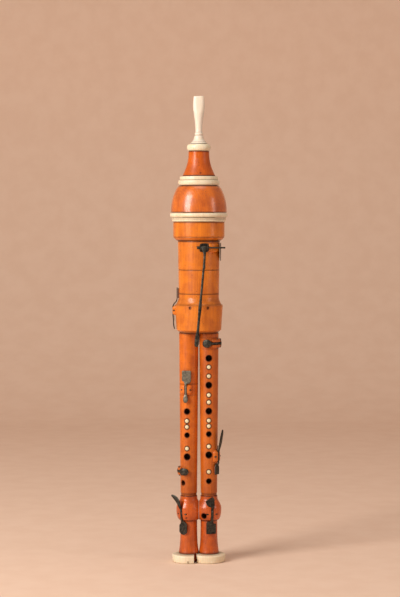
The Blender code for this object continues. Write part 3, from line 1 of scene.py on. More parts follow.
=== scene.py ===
# %% [markdown]
# # Dressing a double flageolet
#
# The object is two keyed boxwood pipes side by side, on flared feet, under one windcap with
# ivory rings and an ivory beak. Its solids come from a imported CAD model, which is loaded as a
# fixed frame. This lesson puts finely turned, carved and forged surfaces over those solids and
# gives each one a procedural finish. Everything is in metres, the front faces -Y and +Z is up.

import json
import math

import bmesh
import bpy
import numpy as np
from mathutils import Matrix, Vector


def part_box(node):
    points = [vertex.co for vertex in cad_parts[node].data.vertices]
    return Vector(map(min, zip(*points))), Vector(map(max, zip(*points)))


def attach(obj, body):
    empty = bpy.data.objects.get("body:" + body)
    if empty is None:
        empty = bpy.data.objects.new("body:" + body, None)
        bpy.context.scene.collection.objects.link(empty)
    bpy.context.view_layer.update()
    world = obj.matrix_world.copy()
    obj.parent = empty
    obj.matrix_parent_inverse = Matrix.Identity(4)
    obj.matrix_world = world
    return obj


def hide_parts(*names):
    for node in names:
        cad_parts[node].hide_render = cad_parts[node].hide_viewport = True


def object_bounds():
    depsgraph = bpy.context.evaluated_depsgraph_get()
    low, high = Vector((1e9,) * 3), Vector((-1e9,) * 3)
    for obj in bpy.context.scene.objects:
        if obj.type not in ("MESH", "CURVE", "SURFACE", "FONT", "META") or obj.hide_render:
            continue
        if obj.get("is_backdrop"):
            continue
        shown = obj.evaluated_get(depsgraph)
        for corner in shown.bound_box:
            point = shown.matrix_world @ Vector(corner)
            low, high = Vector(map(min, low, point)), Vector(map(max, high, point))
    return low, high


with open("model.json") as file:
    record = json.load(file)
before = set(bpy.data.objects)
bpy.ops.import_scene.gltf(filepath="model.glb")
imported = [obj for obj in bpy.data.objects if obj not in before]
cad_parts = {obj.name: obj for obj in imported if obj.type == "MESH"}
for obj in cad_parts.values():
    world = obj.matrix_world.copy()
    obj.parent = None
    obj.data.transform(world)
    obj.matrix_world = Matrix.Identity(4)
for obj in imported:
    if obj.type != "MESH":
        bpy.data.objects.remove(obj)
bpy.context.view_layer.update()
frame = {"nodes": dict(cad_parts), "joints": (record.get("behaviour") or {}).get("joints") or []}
hinges = {joint["child"]: joint for joint in frame["joints"]}
MM = 0.001

# %% [markdown]
# ## Camera
#
# The photograph was taken from about 1.9 m with a long lens, at the height of the bulb: the
# rings near the bulb look flat and the foot rings look curved. The small shift moves the frame
# down, so that the camera needs little tilt and the uprights hardly converge.

# %% Place the camera
CAMERA_PLACE = (0.0012, -1.9, 0.3685)
CAMERA_DIP = math.radians(1.3)
scene = bpy.context.scene


def linked(name, data):
    """A new object in the scene, at the origin and unturned."""
    thing = bpy.data.objects.new(name, data)
    scene.collection.objects.link(thing)
    return thing


camera_data = bpy.data.cameras.new("camera")
camera_data.sensor_width = 36.0
camera_data.lens = 107.9
camera_data.shift_y = -0.0712
camera = linked("camera", camera_data)
camera.location = CAMERA_PLACE
camera.rotation_euler = (math.pi / 2 - CAMERA_DIP, 0.0, 0.0)
scene.camera = camera
print("camera height in mm:", round(camera.location.z / MM, 1))

# %% [markdown]
# ## Meshes from arrays
#
# Every new surface is a grid of points worked out with numpy in one go. The grid's corner
# numbers follow from its row and column counts. A closed surface holds a volume whose sign
# tells whether its faces look outwards, so each mesh is checked and turned round if needed.


# %% Quads of a grid
def grid_faces(rows, columns, wrap_rows=False, wrap_columns=True):
    """Corner numbers of a grid's quads: point (i, j) has the number i * columns + j."""
    i = np.arange(rows if wrap_rows else rows - 1)[:, None]
    j = np.arange(columns if wrap_columns else columns - 1)[None, :]
    below, beside = (i + 1) % rows, (j + 1) % columns
    corners = (i * columns + j, i * columns + beside, below * columns + beside, below * columns + j)
    return np.stack(np.broadcast_arrays(*corners), axis=-1).reshape(-1, 4)


def end_caps(rows, columns):
    """The corner numbers of a grid's first and last row, as two loops that face apart."""
    return [np.arange(columns)[::-1], np.arange(columns) + (rows - 1) * columns]


print("a grid of 3 by 4 points, closed round its columns, has", len(grid_faces(3, 4)), "quads")


# %% The volume inside a surface
def fan_quads(cap):
    """A cap loop as triangles around its first point, each written as a quad with a double corner."""
    cap = np.asarray(cap)
    first = np.full(len(cap) - 2, cap[0])
    return np.stack([first, cap[1:-1], cap[2:], cap[2:]], axis=-1)


def signed_volume(points, quads):
    """A sixth of the sum of a . (b x c) over all triangles, positive if faces look outwards."""
    a, b, c, d = (points[quads[:, k]] for k in range(4))
    first = np.einsum("ij,ij->i", a, np.cross(b, c))
    second = np.einsum("ij,ij->i", a, np.cross(c, d))
    return (first + second).sum() / 6


corner = np.vstack([np.zeros(3), np.eye(3)])
sides = np.array([(0, 2, 1, 1), (0, 3, 2, 2), (0, 1, 3, 3), (1, 2, 3, 3)])
print("volume of a corner cut off a unit cube:", round(signed_volume(corner, sides), 4))


# %% Mesh objects
SHARP_ANGLE = math.radians(38)
SAME_PLACE = 2e-7
NO_LENGTH = 1e-8


def smooth(mesh):
    """Shade a mesh smooth, but keep an edge where its faces meet at more than the sharp angle."""
    mesh.polygons.foreach_set("use_smooth", np.ones(len(mesh.polygons), bool))
    mesh.set_sharp_from_angle(angle=SHARP_ANGLE)


def merge_poles(mesh):
    """Where a grid row has shrunk to one point, make it one vertex."""
    work = bmesh.new()
    work.from_mesh(mesh)
    bmesh.ops.remove_doubles(work, verts=work.verts, dist=SAME_PLACE)
    bmesh.ops.dissolve_degenerate(work, edges=work.edges, dist=NO_LENGTH)
    work.to_mesh(mesh)
    work.free()


def surface(name, points, quads, caps=()):
    """A mesh object from an array of points, an array of quads and loops that close its ends."""
    closed = np.vstack([quads] + [fan_quads(cap) for cap in caps])
    if signed_volume(points, closed) < 0:
        quads = quads[:, ::-1]
        caps = [cap[::-1] for cap in caps]
    mesh = bpy.data.meshes.new(name)
    mesh.from_pydata(points.tolist(), [], quads.tolist() + [list(cap) for cap in caps])
    merge_poles(mesh)
    smooth(mesh)
    return linked(name, mesh)


print("edges stay sharp above", round(math.degrees(SHARP_ANGLE)), "degrees")

# %% [markdown]
# ## Shader tools
#
# A material here is a small graph. Effects that several finishes share are node groups: wood
# fibre, lathe marks and the patches, specks and scratches left by handling. Each group reads
# Object coordinates, so a pattern stays in place when its piece moves.


# %% A helper that adds one node
def add_node(tree, kind, values=None, **settings):
    """Add a node, set its properties, and set or link its inputs by name or number."""
    node = tree.nodes.new(kind)
    for key, value in settings.items():
        setattr(node, key, value)
    for key, value in (values or {}).items():
        if isinstance(value, bpy.types.NodeSocket):
            tree.links.new(value, node.inputs[key])
        else:
            node.inputs[key].default_value = value
    return node


# %% Helpers for numbers and colours
def combine(tree, operation, first, second=0.0, third=0.0, clamp=False):
    """One Math node: the operation applied to one, two or three numbers."""
    values = {0: first, 1: second, 2: third}
    return add_node(tree, "ShaderNodeMath", values, operation=operation, use_clamp=clamp).outputs[0]


def weighted(tree, *terms, start=0.0, clamp=False):
    """The start plus the sum of each term's value times its weight."""
    total = start
    for number, (value, weight) in enumerate(terms, 1):
        last = clamp and number == len(terms)
        total = combine(tree, "MULTIPLY_ADD", value, weight, total, clamp=last)
    return total


def strongest(tree, *terms):
    """The largest of each term's value times its weight."""
    total = combine(tree, "MULTIPLY", *terms[0])
    for value, weight in terms[1:]:
        total = combine(tree, "MAXIMUM", total, combine(tree, "MULTIPLY", value, weight))
    return total


def remap(tree, value, low, high, new_low=0.0, new_high=1.0):
    """Carry the range low..high smoothly over to new_low..new_high."""
    values = {"Value": value, "From Min": low, "From Max": high, "To Min": new_low, "To Max": new_high}
    return add_node(tree, "ShaderNodeMapRange", values, interpolation_type="SMOOTHSTEP").outputs[0]


def blend_colours(tree, share, first, second):
    """Mix two colours by a share."""
    node = add_node(tree, "ShaderNodeMix", {0: share}, data_type="RGBA")
    for index, colour in ((6, first), (7, second)):
        if isinstance(colour, bpy.types.NodeSocket):
            tree.links.new(colour, node.inputs[index])
        else:
            node.inputs[index].default_value = (*colour, 1.0)
    return node.outputs[2]


# %% Helpers for patterns
def stretched(tree, vector, scales):
    """The vector with each of its parts multiplied by a scale."""
    values = {0: vector, 1: scales}
    return add_node(tree, "ShaderNodeVectorMath", values, operation="MULTIPLY").outputs[0]


def noise(tree, vector, scale, detail=3.0, roughness=0.55):
    """Soft random values around 0.5."""
    values = {"Vector": vector, "Scale": scale, "Detail": detail, "Roughness": roughness}
    return add_node(tree, "ShaderNodeTexNoise", values).outputs[0]


# %% A helper that starts a node group
def new_group(name, inputs, outputs):
    """An empty node group with a vector input, number inputs and number outputs."""
    tree = bpy.data.node_groups.new(name, "ShaderNodeTree")
    tree.interface.new_socket("Vector", in_out="INPUT", socket_type="NodeSocketVector")
    for label, default in inputs:
        socket = tree.interface.new_socket(label, in_out="INPUT", socket_type="NodeSocketFloat")
        socket.default_value = default
    for label in outputs:
        tree.interface.new_socket(label, in_out="OUTPUT", socket_type="NodeSocketFloat")
    return tree, tree.nodes.new("NodeGroupInput"), tree.nodes.new("NodeGroupOutput")


print("node groups so far:", len(bpy.data.node_groups))


# %% Wood fibre, shared by all boxwood
PITH_PLACE = (0.031, 0.024)


def build_fibre_group():
    """Streaks are noise drawn out along Z. Rings are a sine of the distance from an off-centre pith."""
    inputs = (("Ring Pitch", 0.0011),)
    tree, given, result = new_group("boxwood_fibre", inputs, ("Streaks", "Rings", "Pores"))
    vector = given.outputs["Vector"]
    broad = noise(tree, stretched(tree, vector, (170.0, 170.0, 11.0)), 1.0, 4.0)
    fine = noise(tree, stretched(tree, vector, (900.0, 900.0, 36.0)), 1.0, 3.0)
    streaks = weighted(tree, (broad, 0.65), (fine, 0.35))
    tree.links.new(remap(tree, streaks, 0.38, 0.62), result.inputs["Streaks"])

    parts = add_node(tree, "ShaderNodeSeparateXYZ", {0: vector})
    sway = noise(tree, stretched(tree, vector, (60.0, 60.0, 9.0)), 1.0, 2.0)
    aside = [combine(tree, "SUBTRACT", parts.outputs[k], PITH_PLACE[k]) for k in range(2)]
    squares = [combine(tree, "MULTIPLY", part, part) for part in aside]
    distance = combine(tree, "SQRT", combine(tree, "ADD", *squares))
    distance = weighted(tree, (sway, 0.004), start=distance)
    turns = combine(tree, "DIVIDE", distance, given.outputs["Ring Pitch"])
    wave = combine(tree, "SINE", combine(tree, "MULTIPLY", turns, 2 * math.pi))
    tree.links.new(remap(tree, wave, -0.2, 1.0), result.inputs["Rings"])

    values = {"Vector": stretched(tree, vector, (1500.0, 1500.0, 170.0)), "Scale": 1.0}
    cells = add_node(tree, "ShaderNodeTexVoronoi", values)
    tree.links.new(remap(tree, cells.outputs["Distance"], 0.2, 0.08), result.inputs["Pores"])
    return tree


fibre_group = build_fibre_group()
print("group", fibre_group.name, "has", len(fibre_group.nodes), "nodes")


# %% Lathe marks, shared by wood and ivory
def build_lathe_group():
    """Fine rings left by the turning tool: noise that changes along Z only, at two pitches."""
    tree, given, result = new_group("lathe_marks", (("Fineness", 1.0),), ("Height",))
    flat = stretched(tree, given.outputs["Vector"], (6.0, 6.0, 1400.0))
    close = noise(tree, flat, given.outputs["Fineness"], 2.0)
    wide = noise(tree, stretched(tree, given.outputs["Vector"], (3.0, 3.0, 260.0)), 1.0, 2.0)
    tree.links.new(weighted(tree, (close, 0.5), (wide, 0.5)), result.inputs["Height"])
    return tree


lathe_group = build_lathe_group()
print("group", lathe_group.name, "has", len(lathe_group.nodes), "nodes")


# %% Handling marks, shared by every finish
def build_handling_group():
    """Patches are soft noise, specks are rare small Voronoi cells, scratches are thin noise ridges."""
    tree, given, result = new_group("handling", (("Size", 1.0),), ("Patches", "Specks", "Scratches"))
    values = {0: given.outputs["Vector"], 3: given.outputs["Size"]}
    vector = add_node(tree, "ShaderNodeVectorMath", values, operation="SCALE").outputs[0]
    patches = noise(tree, vector, 75.0, 5.0, 0.6)
    tree.links.new(remap(tree, patches, 0.36, 0.66), result.inputs["Patches"])
    cells = add_node(tree, "ShaderNodeTexVoronoi", {"Vector": vector, "Scale": 420.0})
    chance = add_node(tree, "ShaderNodeSeparateColor", {0: cells.outputs["Color"]}).outputs[0]
    rare = combine(tree, "GREATER_THAN", chance, 0.93)
    dots = remap(tree, cells.outputs["Distance"], 0.3, 0.12)
    tree.links.new(combine(tree, "MULTIPLY", dots, rare), result.inputs["Specks"])
    ridge = noise(tree, stretched(tree, vector, (420.0, 420.0, 90.0)), 1.0, 1.0)
    thin = combine(tree, "ABSOLUTE", combine(tree, "SUBTRACT", ridge, 0.5))
    tree.links.new(remap(tree, thin, 0.012, 0.0), result.inputs["Scratches"])
    return tree


handling_group = build_handling_group()
print("group", handling_group.name, "has", len(handling_group.nodes), "nodes")


# %% A helper that starts a material
def start_material(name, roughness, metallic=0.0):
    """A new material, its tree, its Principled shader and the Object coordinates."""
    material = bpy.data.materials.new(name)
    material.use_nodes = True
    tree = material.node_tree
    shader = tree.nodes["Principled BSDF"]
    shader.inputs["Roughness"].default_value = roughness
    shader.inputs["Metallic"].default_value = metallic
    place = tree.nodes.new("ShaderNodeTexCoord").outputs["Object"]
    return material, tree, shader, place


print("materials so far:", len(bpy.data.materials))


# %% Helpers that use a group, a height and the painted dirt and shade
def use_group(tree, group, place, **numbers):
    """Put a group in a material and give back its outputs."""
    node = tree.nodes.new("ShaderNodeGroup")
    node.node_tree = group
    tree.links.new(place, node.inputs["Vector"])
    for label, value in numbers.items():
        node.inputs[label.replace("_", " ")].default_value = value
    return node.outputs


def raise_surface(tree, shader, height, distance):
    """Feed a height, worth `distance` metres at 1, to the shader's normal."""
    bump = add_node(tree, "ShaderNodeBump", {"Height": height, "Distance": distance})
    tree.links.new(bump.outputs[0], shader.inputs["Normal"])


def grime_and_shade(tree):
    """The dirt and painted shade kept on a piece's points, 0 where there is none."""
    return add_node(tree, "ShaderNodeAttribute", attribute_name="grime_and_shade").outputs["Fac"]


# %% [markdown]
# ## Boxwood
#
# The wood is stained orange-brown and oiled, with hardly any figure: fine upright fibres, faint
# growth rings, small dark pores, a deeper colour where hands and joints have kept dirt, and painted
# shade in hollows, creases and holes. The foot joints are redder and darker than the windcap, so
# one function makes several tones.


# %% The boxwood finishes
WOOD_ROUGHNESS = 0.3


def boxwood(name, light, deep, polish=0.16):
    """Two tones mixed by the fibre, ring and handling patterns, under a coat of oil."""
    material, tree, shader, place = start_material(name, WOOD_ROUGHNESS)
    fibre = use_group(tree, fibre_group, place, Ring_Pitch=0.0013)
    lathe = use_group(tree, lathe_group, place, Fineness=1.0)
    hand = use_group(tree, handling_group, place, Size=1.0)
    grown = ((fibre["Streaks"], 0.34), (fibre["Rings"], 0.12))
    share = weighted(tree, *grown, (hand["Patches"], 0.42), (lathe["Height"], 0.2))
    colour = blend_colours(tree, combine(tree, "SUBTRACT", share, 0.1, clamp=True), light, deep)
    # The darkest tone goes into pores, specks, dirt and the painted shade in hollows and holes.
    marks_and_shade_tone = tuple(0.12 * part for part in deep)
    marks = strongest(tree, (fibre["Pores"], 0.22), (hand["Specks"], 0.6), (grime_and_shade(tree), 0.94))
    tree.links.new(blend_colours(tree, marks, colour, marks_and_shade_tone), shader.inputs["Base Color"])
    dull = weighted(tree, (hand["Patches"], 0.16), (marks, 0.25), start=WOOD_ROUGHNESS - 0.07)
    tree.links.new(dull, shader.inputs["Roughness"])
    cut = ((lathe["Height"], 0.6), (fibre["Streaks"], -0.35), (fibre["Pores"], -0.7))
    height = weighted(tree, *cut, (hand["Scratches"], -0.5))
    raise_surface(tree, shader, height, 0.00005)
    shader.inputs["Specular IOR Level"].default_value = 0.35
    shader.inputs["Coat Weight"].default_value = polish
    shader.inputs["Coat Roughness"].default_value = 0.2
    return material


bulb_wood = boxwood("boxwood_bulb", (0.76, 0.18, 0.014), (0.38, 0.065, 0.005), 0.9)
cone_wood = boxwood("boxwood_cone", (0.68, 0.135, 0.009), (0.36, 0.055, 0.004), 0.04)
stock_wood = boxwood("boxwood_stock", (0.84, 0.245, 0.022), (0.48, 0.105, 0.009))
pipe_wood = boxwood("boxwood_pipe", (0.78, 0.19, 0.016), (0.42, 0.07, 0.006))
foot_wood = boxwood("boxwood_foot", (0.7, 0.125, 0.012), (0.28, 0.038, 0.005), 0.4)
print("five tones of boxwood")

# %% [markdown]
# ## Ivory, silver, steel, leather and sponge
#
# Ivory is cream with faint upright lines, yellow-brown dirt and painted shade in its corners, and lets
# a little light in. The key silver has tarnished almost black, with paler rubbed places. A metal seen
# in a studio mirrors the room, so its roughness varies more than its colour.


# %% The ivory finishes
CORNER_DIRT_AND_SHADE = (0.16, 0.075, 0.03)


def ivory(name, light, stain, stained=0.35):
    """Cream and a yellower stain mixed by patches, fine upright lines and specks."""
    material, tree, shader, place = start_material(name, 0.3)
    lathe = use_group(tree, lathe_group, place, Fineness=0.7)
    hand = use_group(tree, handling_group, place, Size=0.8)
    lines = remap(tree, noise(tree, stretched(tree, place, (650.0, 650.0, 30.0)), 1.0, 3.0), 0.45, 0.62)
    share = weighted(tree, (hand["Patches"], stained), (lines, 0.16), (hand["Specks"], 0.4), clamp=True)
    # The corner colour is dirt and painted shade in the creases between tiers and where parts meet.
    dirt_and_shade = combine(tree, "MULTIPLY", grime_and_shade(tree), 0.9)
    colour = blend_colours(tree, dirt_and_shade, blend_colours(tree, share, light, stain), CORNER_DIRT_AND_SHADE)
    tree.links.new(colour, shader.inputs["Base Color"])
    dull = weighted(tree, (hand["Patches"], 0.18), (dirt_and_shade, 0.3), start=0.24)
    tree.links.new(dull, shader.inputs["Roughness"])
    raise_surface(tree, shader, weighted(tree, (hand["Scratches"], -0.6), start=lathe["Height"]), 0.00004)
    shader.inputs["Subsurface Weight"].default_value = 0.12
    shader.inputs["Subsurface Radius"].default_value = (0.002, 0.0012, 0.0007)
    return material


ring_ivory = ivory("ivory_rings", (0.88, 0.78, 0.58), (0.66, 0.48, 0.28))
beak_ivory = ivory("ivory_beak", (0.87, 0.79, 0.68), (0.74, 0.6, 0.42), 0.3)
stud_ivory = ivory("ivory_studs", (0.86, 0.77, 0.52), (0.58, 0.43, 0.22))
print("three ivories")


# %% The metal finishes
def tarnished(name, dark, rubbed, rubbed_share=0.5, size=1.6):
    """A dark metal, rubbed paler in clouds, in patches and along scratches."""
    material, tree, shader, place = start_material(name, 0.42, 0.85)
    hand = use_group(tree, handling_group, place, Size=size)
    cloud = noise(tree, place, 520.0, 5.0, 0.65)
    clouds = remap(tree, cloud, 0.4, 0.68)
    share = weighted(tree, (clouds, rubbed_share), (hand["Patches"], rubbed_share * 0.6), clamp=True)
    share = combine(tree, "MAXIMUM", share, combine(tree, "MULTIPLY", hand["Scratches"], 0.7))
    tree.links.new(blend_colours(tree, share, dark, rubbed), shader.inputs["Base Color"])
    tree.links.new(weighted(tree, (share, -0.22), start=0.55), shader.inputs["Roughness"])
    raise_surface(tree, shader, weighted(tree, (hand["Specks"], -0.8), start=cloud), 0.00006)
    return material


key_silver = tarnished("silver_tarnished", (0.02, 0.019, 0.016), (0.13, 0.122, 0.1))
plate_silver = tarnished("silver_rubbed", (0.08, 0.072, 0.055), (0.24, 0.215, 0.17), 0.7)
spring_steel = tarnished("spring_steel", (0.05, 0.05, 0.055), (0.22, 0.22, 0.23), 0.4, 3.0)
pin_steel = tarnished("pin_steel", (0.045, 0.028, 0.02), (0.2, 0.15, 0.11), 0.5, 3.0)
print("two silvers and two steels")


# %% The soft finishes
def soft_finish(name, light, deep, scale, relief, roughness):
    """Cells of a Voronoi pattern stand for leather creases, or with larger cells for sponge holes."""
    material, tree, shader, place = start_material(name, roughness)
    hand = use_group(tree, handling_group, place, Size=2.0)
    values = {"Vector": place, "Scale": scale}
    cells = add_node(tree, "ShaderNodeTexVoronoi", values, feature="DISTANCE_TO_EDGE")
    valley = remap(tree, cells.outputs["Distance"], 0.02, 0.2)
    share = weighted(tree, (valley, 0.5), (hand["Patches"], 0.4), clamp=True)
    # The deep colour along the cell edges is painted shade in the sponge's holes; on the leather it darkens
    # the creases.
    tree.links.new(blend_colours(tree, share, deep, light), shader.inputs["Base Color"])
    tree.links.new(weighted(tree, (valley, -0.1), start=roughness), shader.inputs["Roughness"])
    raise_surface(tree, shader, valley, relief)
    return material


leather = soft_finish("pad_leather", (0.36, 0.1, 0.045), (0.1, 0.025, 0.012), 1900.0, 0.0001, 0.8)
sponge_foam = soft_finish("sponge_foam", (0.7, 0.55, 0.3), (0.35, 0.24, 0.1), 600.0, 0.0006, 0.95)
print("materials:", len(bpy.data.materials))

# %% [markdown]
# ## Turned work
#
# Most of the instrument was made on a lathe, so most of its surfaces are a profile turned about
# an upright axis. The profile's corners are softened, because real turned edges are never sharp
# and it is the soft edge that catches the light.


# %% Angles and lengths
def round_angles(count):
    """Angles at even steps, once round a circle."""
    return np.linspace(0.0, 2 * math.pi, count, endpoint=False)


def run_of(points):
    """The distance from a path's first point to each of its points, along the path."""
    return np.concatenate([[0.0], np.cumsum(np.linalg.norm(np.diff(points, axis=0), axis=1))])


print("distances along a path:", run_of(np.array([(0.0, 0.0), (3.0, 4.0), (3.0, 5.0)])))


# %% Profiles
def softened(corners, bend=7):
    """Round each corner (radius, height, reach) of a profile given in mm.

    Where the reach is above 0, the corner is replaced by a parabola that leaves one side and
    meets the next at that distance: (1 - t)^2 A + 2 t (1 - t) P + t^2 B.
    """
    corners = [corner if len(corner) == 3 else (*corner, 0.0) for corner in corners]
    points = np.array([corner[:2] for corner in corners])
    before, after = np.roll(points, 1, axis=0), np.roll(points, -1, axis=0)
    out = []
    t = np.linspace(0.0, 1.0, bend)[:, None]
    for here, last, following, corner in zip(points, before, after, corners):
        back, on = np.linalg.norm(last - here), np.linalg.norm(following - here)
        reach = min(corner[2], 0.48 * back, 0.48 * on)
        if reach <= 0.0:
            out.append(here[None, :])
            continue
        a = here + (last - here) * reach / back
        b = here + (following - here) * reach / on
        out.append((1 - t) ** 2 * a + 2 * t * (1 - t) * here + t ** 2 * b)
    return np.vstack(out)


def refined(profile, step):
    """Split the stretches of an open profile that are longer than a step, both in mm."""
    knots = run_of(profile)
    counts = [max(1, math.ceil((b - a) / step)) for a, b in zip(knots, knots[1:])]
    parts = [np.linspace(a, b, n, endpoint=False) for a, b, n in zip(knots, knots[1:], counts)]
    at = np.append(np.concatenate(parts), knots[-1])
    return np.stack([np.interp(at, knots, profile[:, 0]), np.interp(at, knots, profile[:, 1])], axis=-1)


square = softened(((0.0, 0.0, 1.0), (4.0, 0.0, 1.0), (4.0, 4.0, 1.0), (0.0, 4.0, 1.0)))
print("points of a square with soft corners:", len(square), "and refined:", len(refined(square, 0.5)))


# %% Turned pieces
def turned(name, profile, centre_x=0.0, segments=128):
    """x = cx + r cos a, y = r sin a, z = h, for each profile point (r, h) in mm and each angle a.

    A profile that starts off the axis is a loop, so its last row is joined to its first.
    """
    angle = round_angles(segments)
    radius, height = profile[:, :1] * MM, profile[:, 1:] * MM
    x = centre_x * MM + radius * np.cos(angle)
    y = radius * np.sin(angle)
    points = np.stack([x, y, np.broadcast_to(height, x.shape)], axis=-1).reshape(-1, 3)
    loop = profile[0, 0] > 0
    return surface(name, points, grid_faces(len(profile), segments, wrap_rows=loop))


# %% Finish, body and CAD nodes of a piece
def dress(piece, material, slot, body, *nodes):
    """Give a piece its finish, the body it moves with and the CAD nodes it stands for."""
    piece.data.materials.clear()
    piece.data.materials.append(material)
    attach(piece, body)
    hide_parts(*nodes)
    return piece


# %% Dirt and painted shade on the points
# One value holds both real dirt and painted shade in holes, creases and hollow curves.
GRIME_AND_SHADE_FADE = 0.7


def points_of(piece):
    """The places of a mesh's points, in metres."""
    values = np.empty(len(piece.data.vertices) * 3)
    piece.data.vertices.foreach_get("co", values)
    return values.reshape(-1, 3)


def write_grime_and_shade(piece, value):
    """Keep a value of dirt and painted shade, from 0 to 1, on each point."""
    attribute = piece.data.attributes.new("grime_and_shade", "FLOAT", "POINT")
    attribute.data.foreach_set("value", value.astype(np.float32))


def add_grime_and_shade(piece, spots=(), levels=(), bore=None):
    """Work out the dirt and painted shade of each point and write it.

    A spot (x, y, z, radius) in mm is 1 out to its radius and fades as exp(-(d / 0.7 mm)^2).
    A level (height, reach, amount) in mm is a bell curve around that height.
    A bore (x, radius) in mm is dark all through: painted shade that makes the holes look dark, and the
    darker wood of a played pipe's bore.
    """
    place = points_of(piece) / MM
    value = np.zeros(len(place))
    for x, y, z, radius in spots:
        away = np.linalg.norm(place - np.array([x, y, z]), axis=1) - radius
        value = np.maximum(value, np.exp(-(np.maximum(away, 0.0) / GRIME_AND_SHADE_FADE) ** 2))
    for height, reach, amount in levels:
        value = np.maximum(value, amount * np.exp(-((place[:, 2] - height) / reach) ** 2))
    # Painted shade: the whole bore is darkened.
    if bore:
        value[np.hypot(place[:, 0] - bore[0], place[:, 1]) < bore[1]] = 1.0
    write_grime_and_shade(piece, value)


print("grime_and_shade at one fade from a spot's edge:", round(math.exp(-1), 2))

# %% [markdown]
# ## Windcap
#
# From the stock upwards there are an ivory ring in two tiers, a hollow wooden bulb, an ivory
# ring in two tiers, a hollow cone and a rounded ivory ring. Each is a profile with its inside,
# so that it is a real shell when the cap is drawn off.


# %% The ivory rings of the windcap
def ivory_ring(name, inner, tiers, body):
    """Each tier (top, bottom, radius, reach) is a band whose corners are softened by its reach."""
    corners = [(inner, tiers[0][0], 0.2)]
    for top, bottom, radius, reach in tiers:
        corners += [(radius, top, reach), (radius, bottom, reach)]
        if bottom != tiers[-1][1]:
            corners.append((radius - 1.2, bottom - 0.12, 0.1))
    corners.append((inner, tiers[-1][1], 0.2))
    profile = refined(softened(corners), 1.2)
    piece = dress(turned(name, profile), ring_ivory, "ivory", body, name.replace("turned_", ""))
    edges = [(bottom, 0.28, 0.75) for _, bottom, _, _ in tiers] + [(tiers[0][0], 0.3, 0.6)]
    add_grime_and_shade(piece, levels=edges)
    return piece


ivory_ring("turned_stock_ring", 17.2, ((366.2, 364.75, 29.0, 0.7), (364.5, 361.9, 28.6, 1.2)), "instrument")
ivory_ring("turned_cap_base_ring", 17.2, ((371.2, 366.5, 30.8, 2.2),), "windcap")
ivory_ring("turned_cap_middle_ring", 14.3, ((410.0, 405.9, 20.3, 1.7), (405.7, 400.2, 21.9, 2.6)), "windcap")
ivory_ring("turned_cap_top_ring", 4.8, ((444.1, 436.6, 12.7, 3.5),), "windcap")
print("four ivory rings")


# %% A smooth curve through given values
def through(knots, values, at):
    """A cubic through the values with no overshoot.

    Its slope at a knot is the harmonic mean of the slopes beside it, or 0 at a turning point.
    """
    knots, values = np.asarray(knots, float), np.asarray(values, float)
    gap = np.diff(knots)[:, None]
    slope = np.diff(values, axis=0) / gap
    product = slope[:-1] * slope[1:]
    total = np.where(product > 0, slope[:-1] + slope[1:], 1.0)
    middle = np.where(product > 0, 2 * product / total, 0.0)
    tangent = np.vstack([slope[:1], middle, slope[-1:]])
    i = np.clip(np.searchsorted(knots, at, side="right") - 1, 0, len(knots) - 2)
    t = ((at - knots[i]) / gap[i, 0])[:, None]
    start = (1 + 2 * t) * (1 - t) ** 2 * values[i] + t * (1 - t) ** 2 * gap[i] * tangent[i]
    end = t ** 2 * (3 - 2 * t) * values[i + 1] + t ** 2 * (t - 1) * gap[i] * tangent[i + 1]
    return start + end


def curved(rows, count):
    """A smooth profile through rows of (radius, height), spaced by their distance apart."""
    rows = np.asarray(rows, float)
    knots = run_of(rows)
    return through(knots, rows, np.linspace(0.0, knots[-1], count))


hill = through((0.0, 1.0, 2.0), ((0.0,), (1.0,), (0.0,)), np.array([0.5, 1.0, 1.5]))
print("a curve through 0, 1, 0 passes", hill.ravel())


# %% The bulb and the cone
bulb_rows = (
    (21.3, 399.9), (23.74, 396.8), (26.0, 391.95), (27.68, 387.4), (28.69, 382.9), (29.45, 377.2),
    (29.7, 371.9),
)
bulb_side = curved(bulb_rows, 40)
bulb_inside = np.array([(29.3, 371.5), (17.2, 371.5), (17.2, 383.0), (14.3, 383.0), (14.3, 399.9)])
bulb = turned("turned_cap_bulb", refined(np.vstack([bulb_side, bulb_inside]), 1.5), segments=160)
dress(bulb, bulb_wood, "boxwood", "windcap", "cap_bulb")
add_grime_and_shade(bulb, levels=((399.8, 0.9, 0.85), (371.6, 0.8, 0.8)))

cone_rows = (
    (11.0, 436.3), (11.13, 431.1), (11.82, 425.9), (13.14, 420.7), (15.1, 415.5), (17.1, 410.9),
    (17.3, 410.5),
)
cone_side = curved(cone_rows, 40)
cone_inside = np.array(
    [(17.1, 410.3), (14.0, 410.3), (14.0, 392.0), (3.0, 392.0), (3.0, 429.1), (4.8, 429.1), (4.8, 436.3)]
)
cone = turned("turned_cap_cone", refined(np.vstack([cone_side, cone_inside]), 1.5))
dress(cone, cone_wood, "boxwood", "windcap", "cap_cone")
add_grime_and_shade(cone, spots=((1.7, -16.2, 413.2, 0.35),), levels=((410.4, 0.7, 0.9), (436.2, 0.8, 0.85)))
print("bulb and cone turned")

# %% [markdown]
# ## Mouthpiece
#
# The beak is turned at its foot and filed flat at its tip. Its outline is a set of ellipses
# whose two half-widths follow two curves up the piece, and near the tip their corners fill out,
# as a filed shape's do.

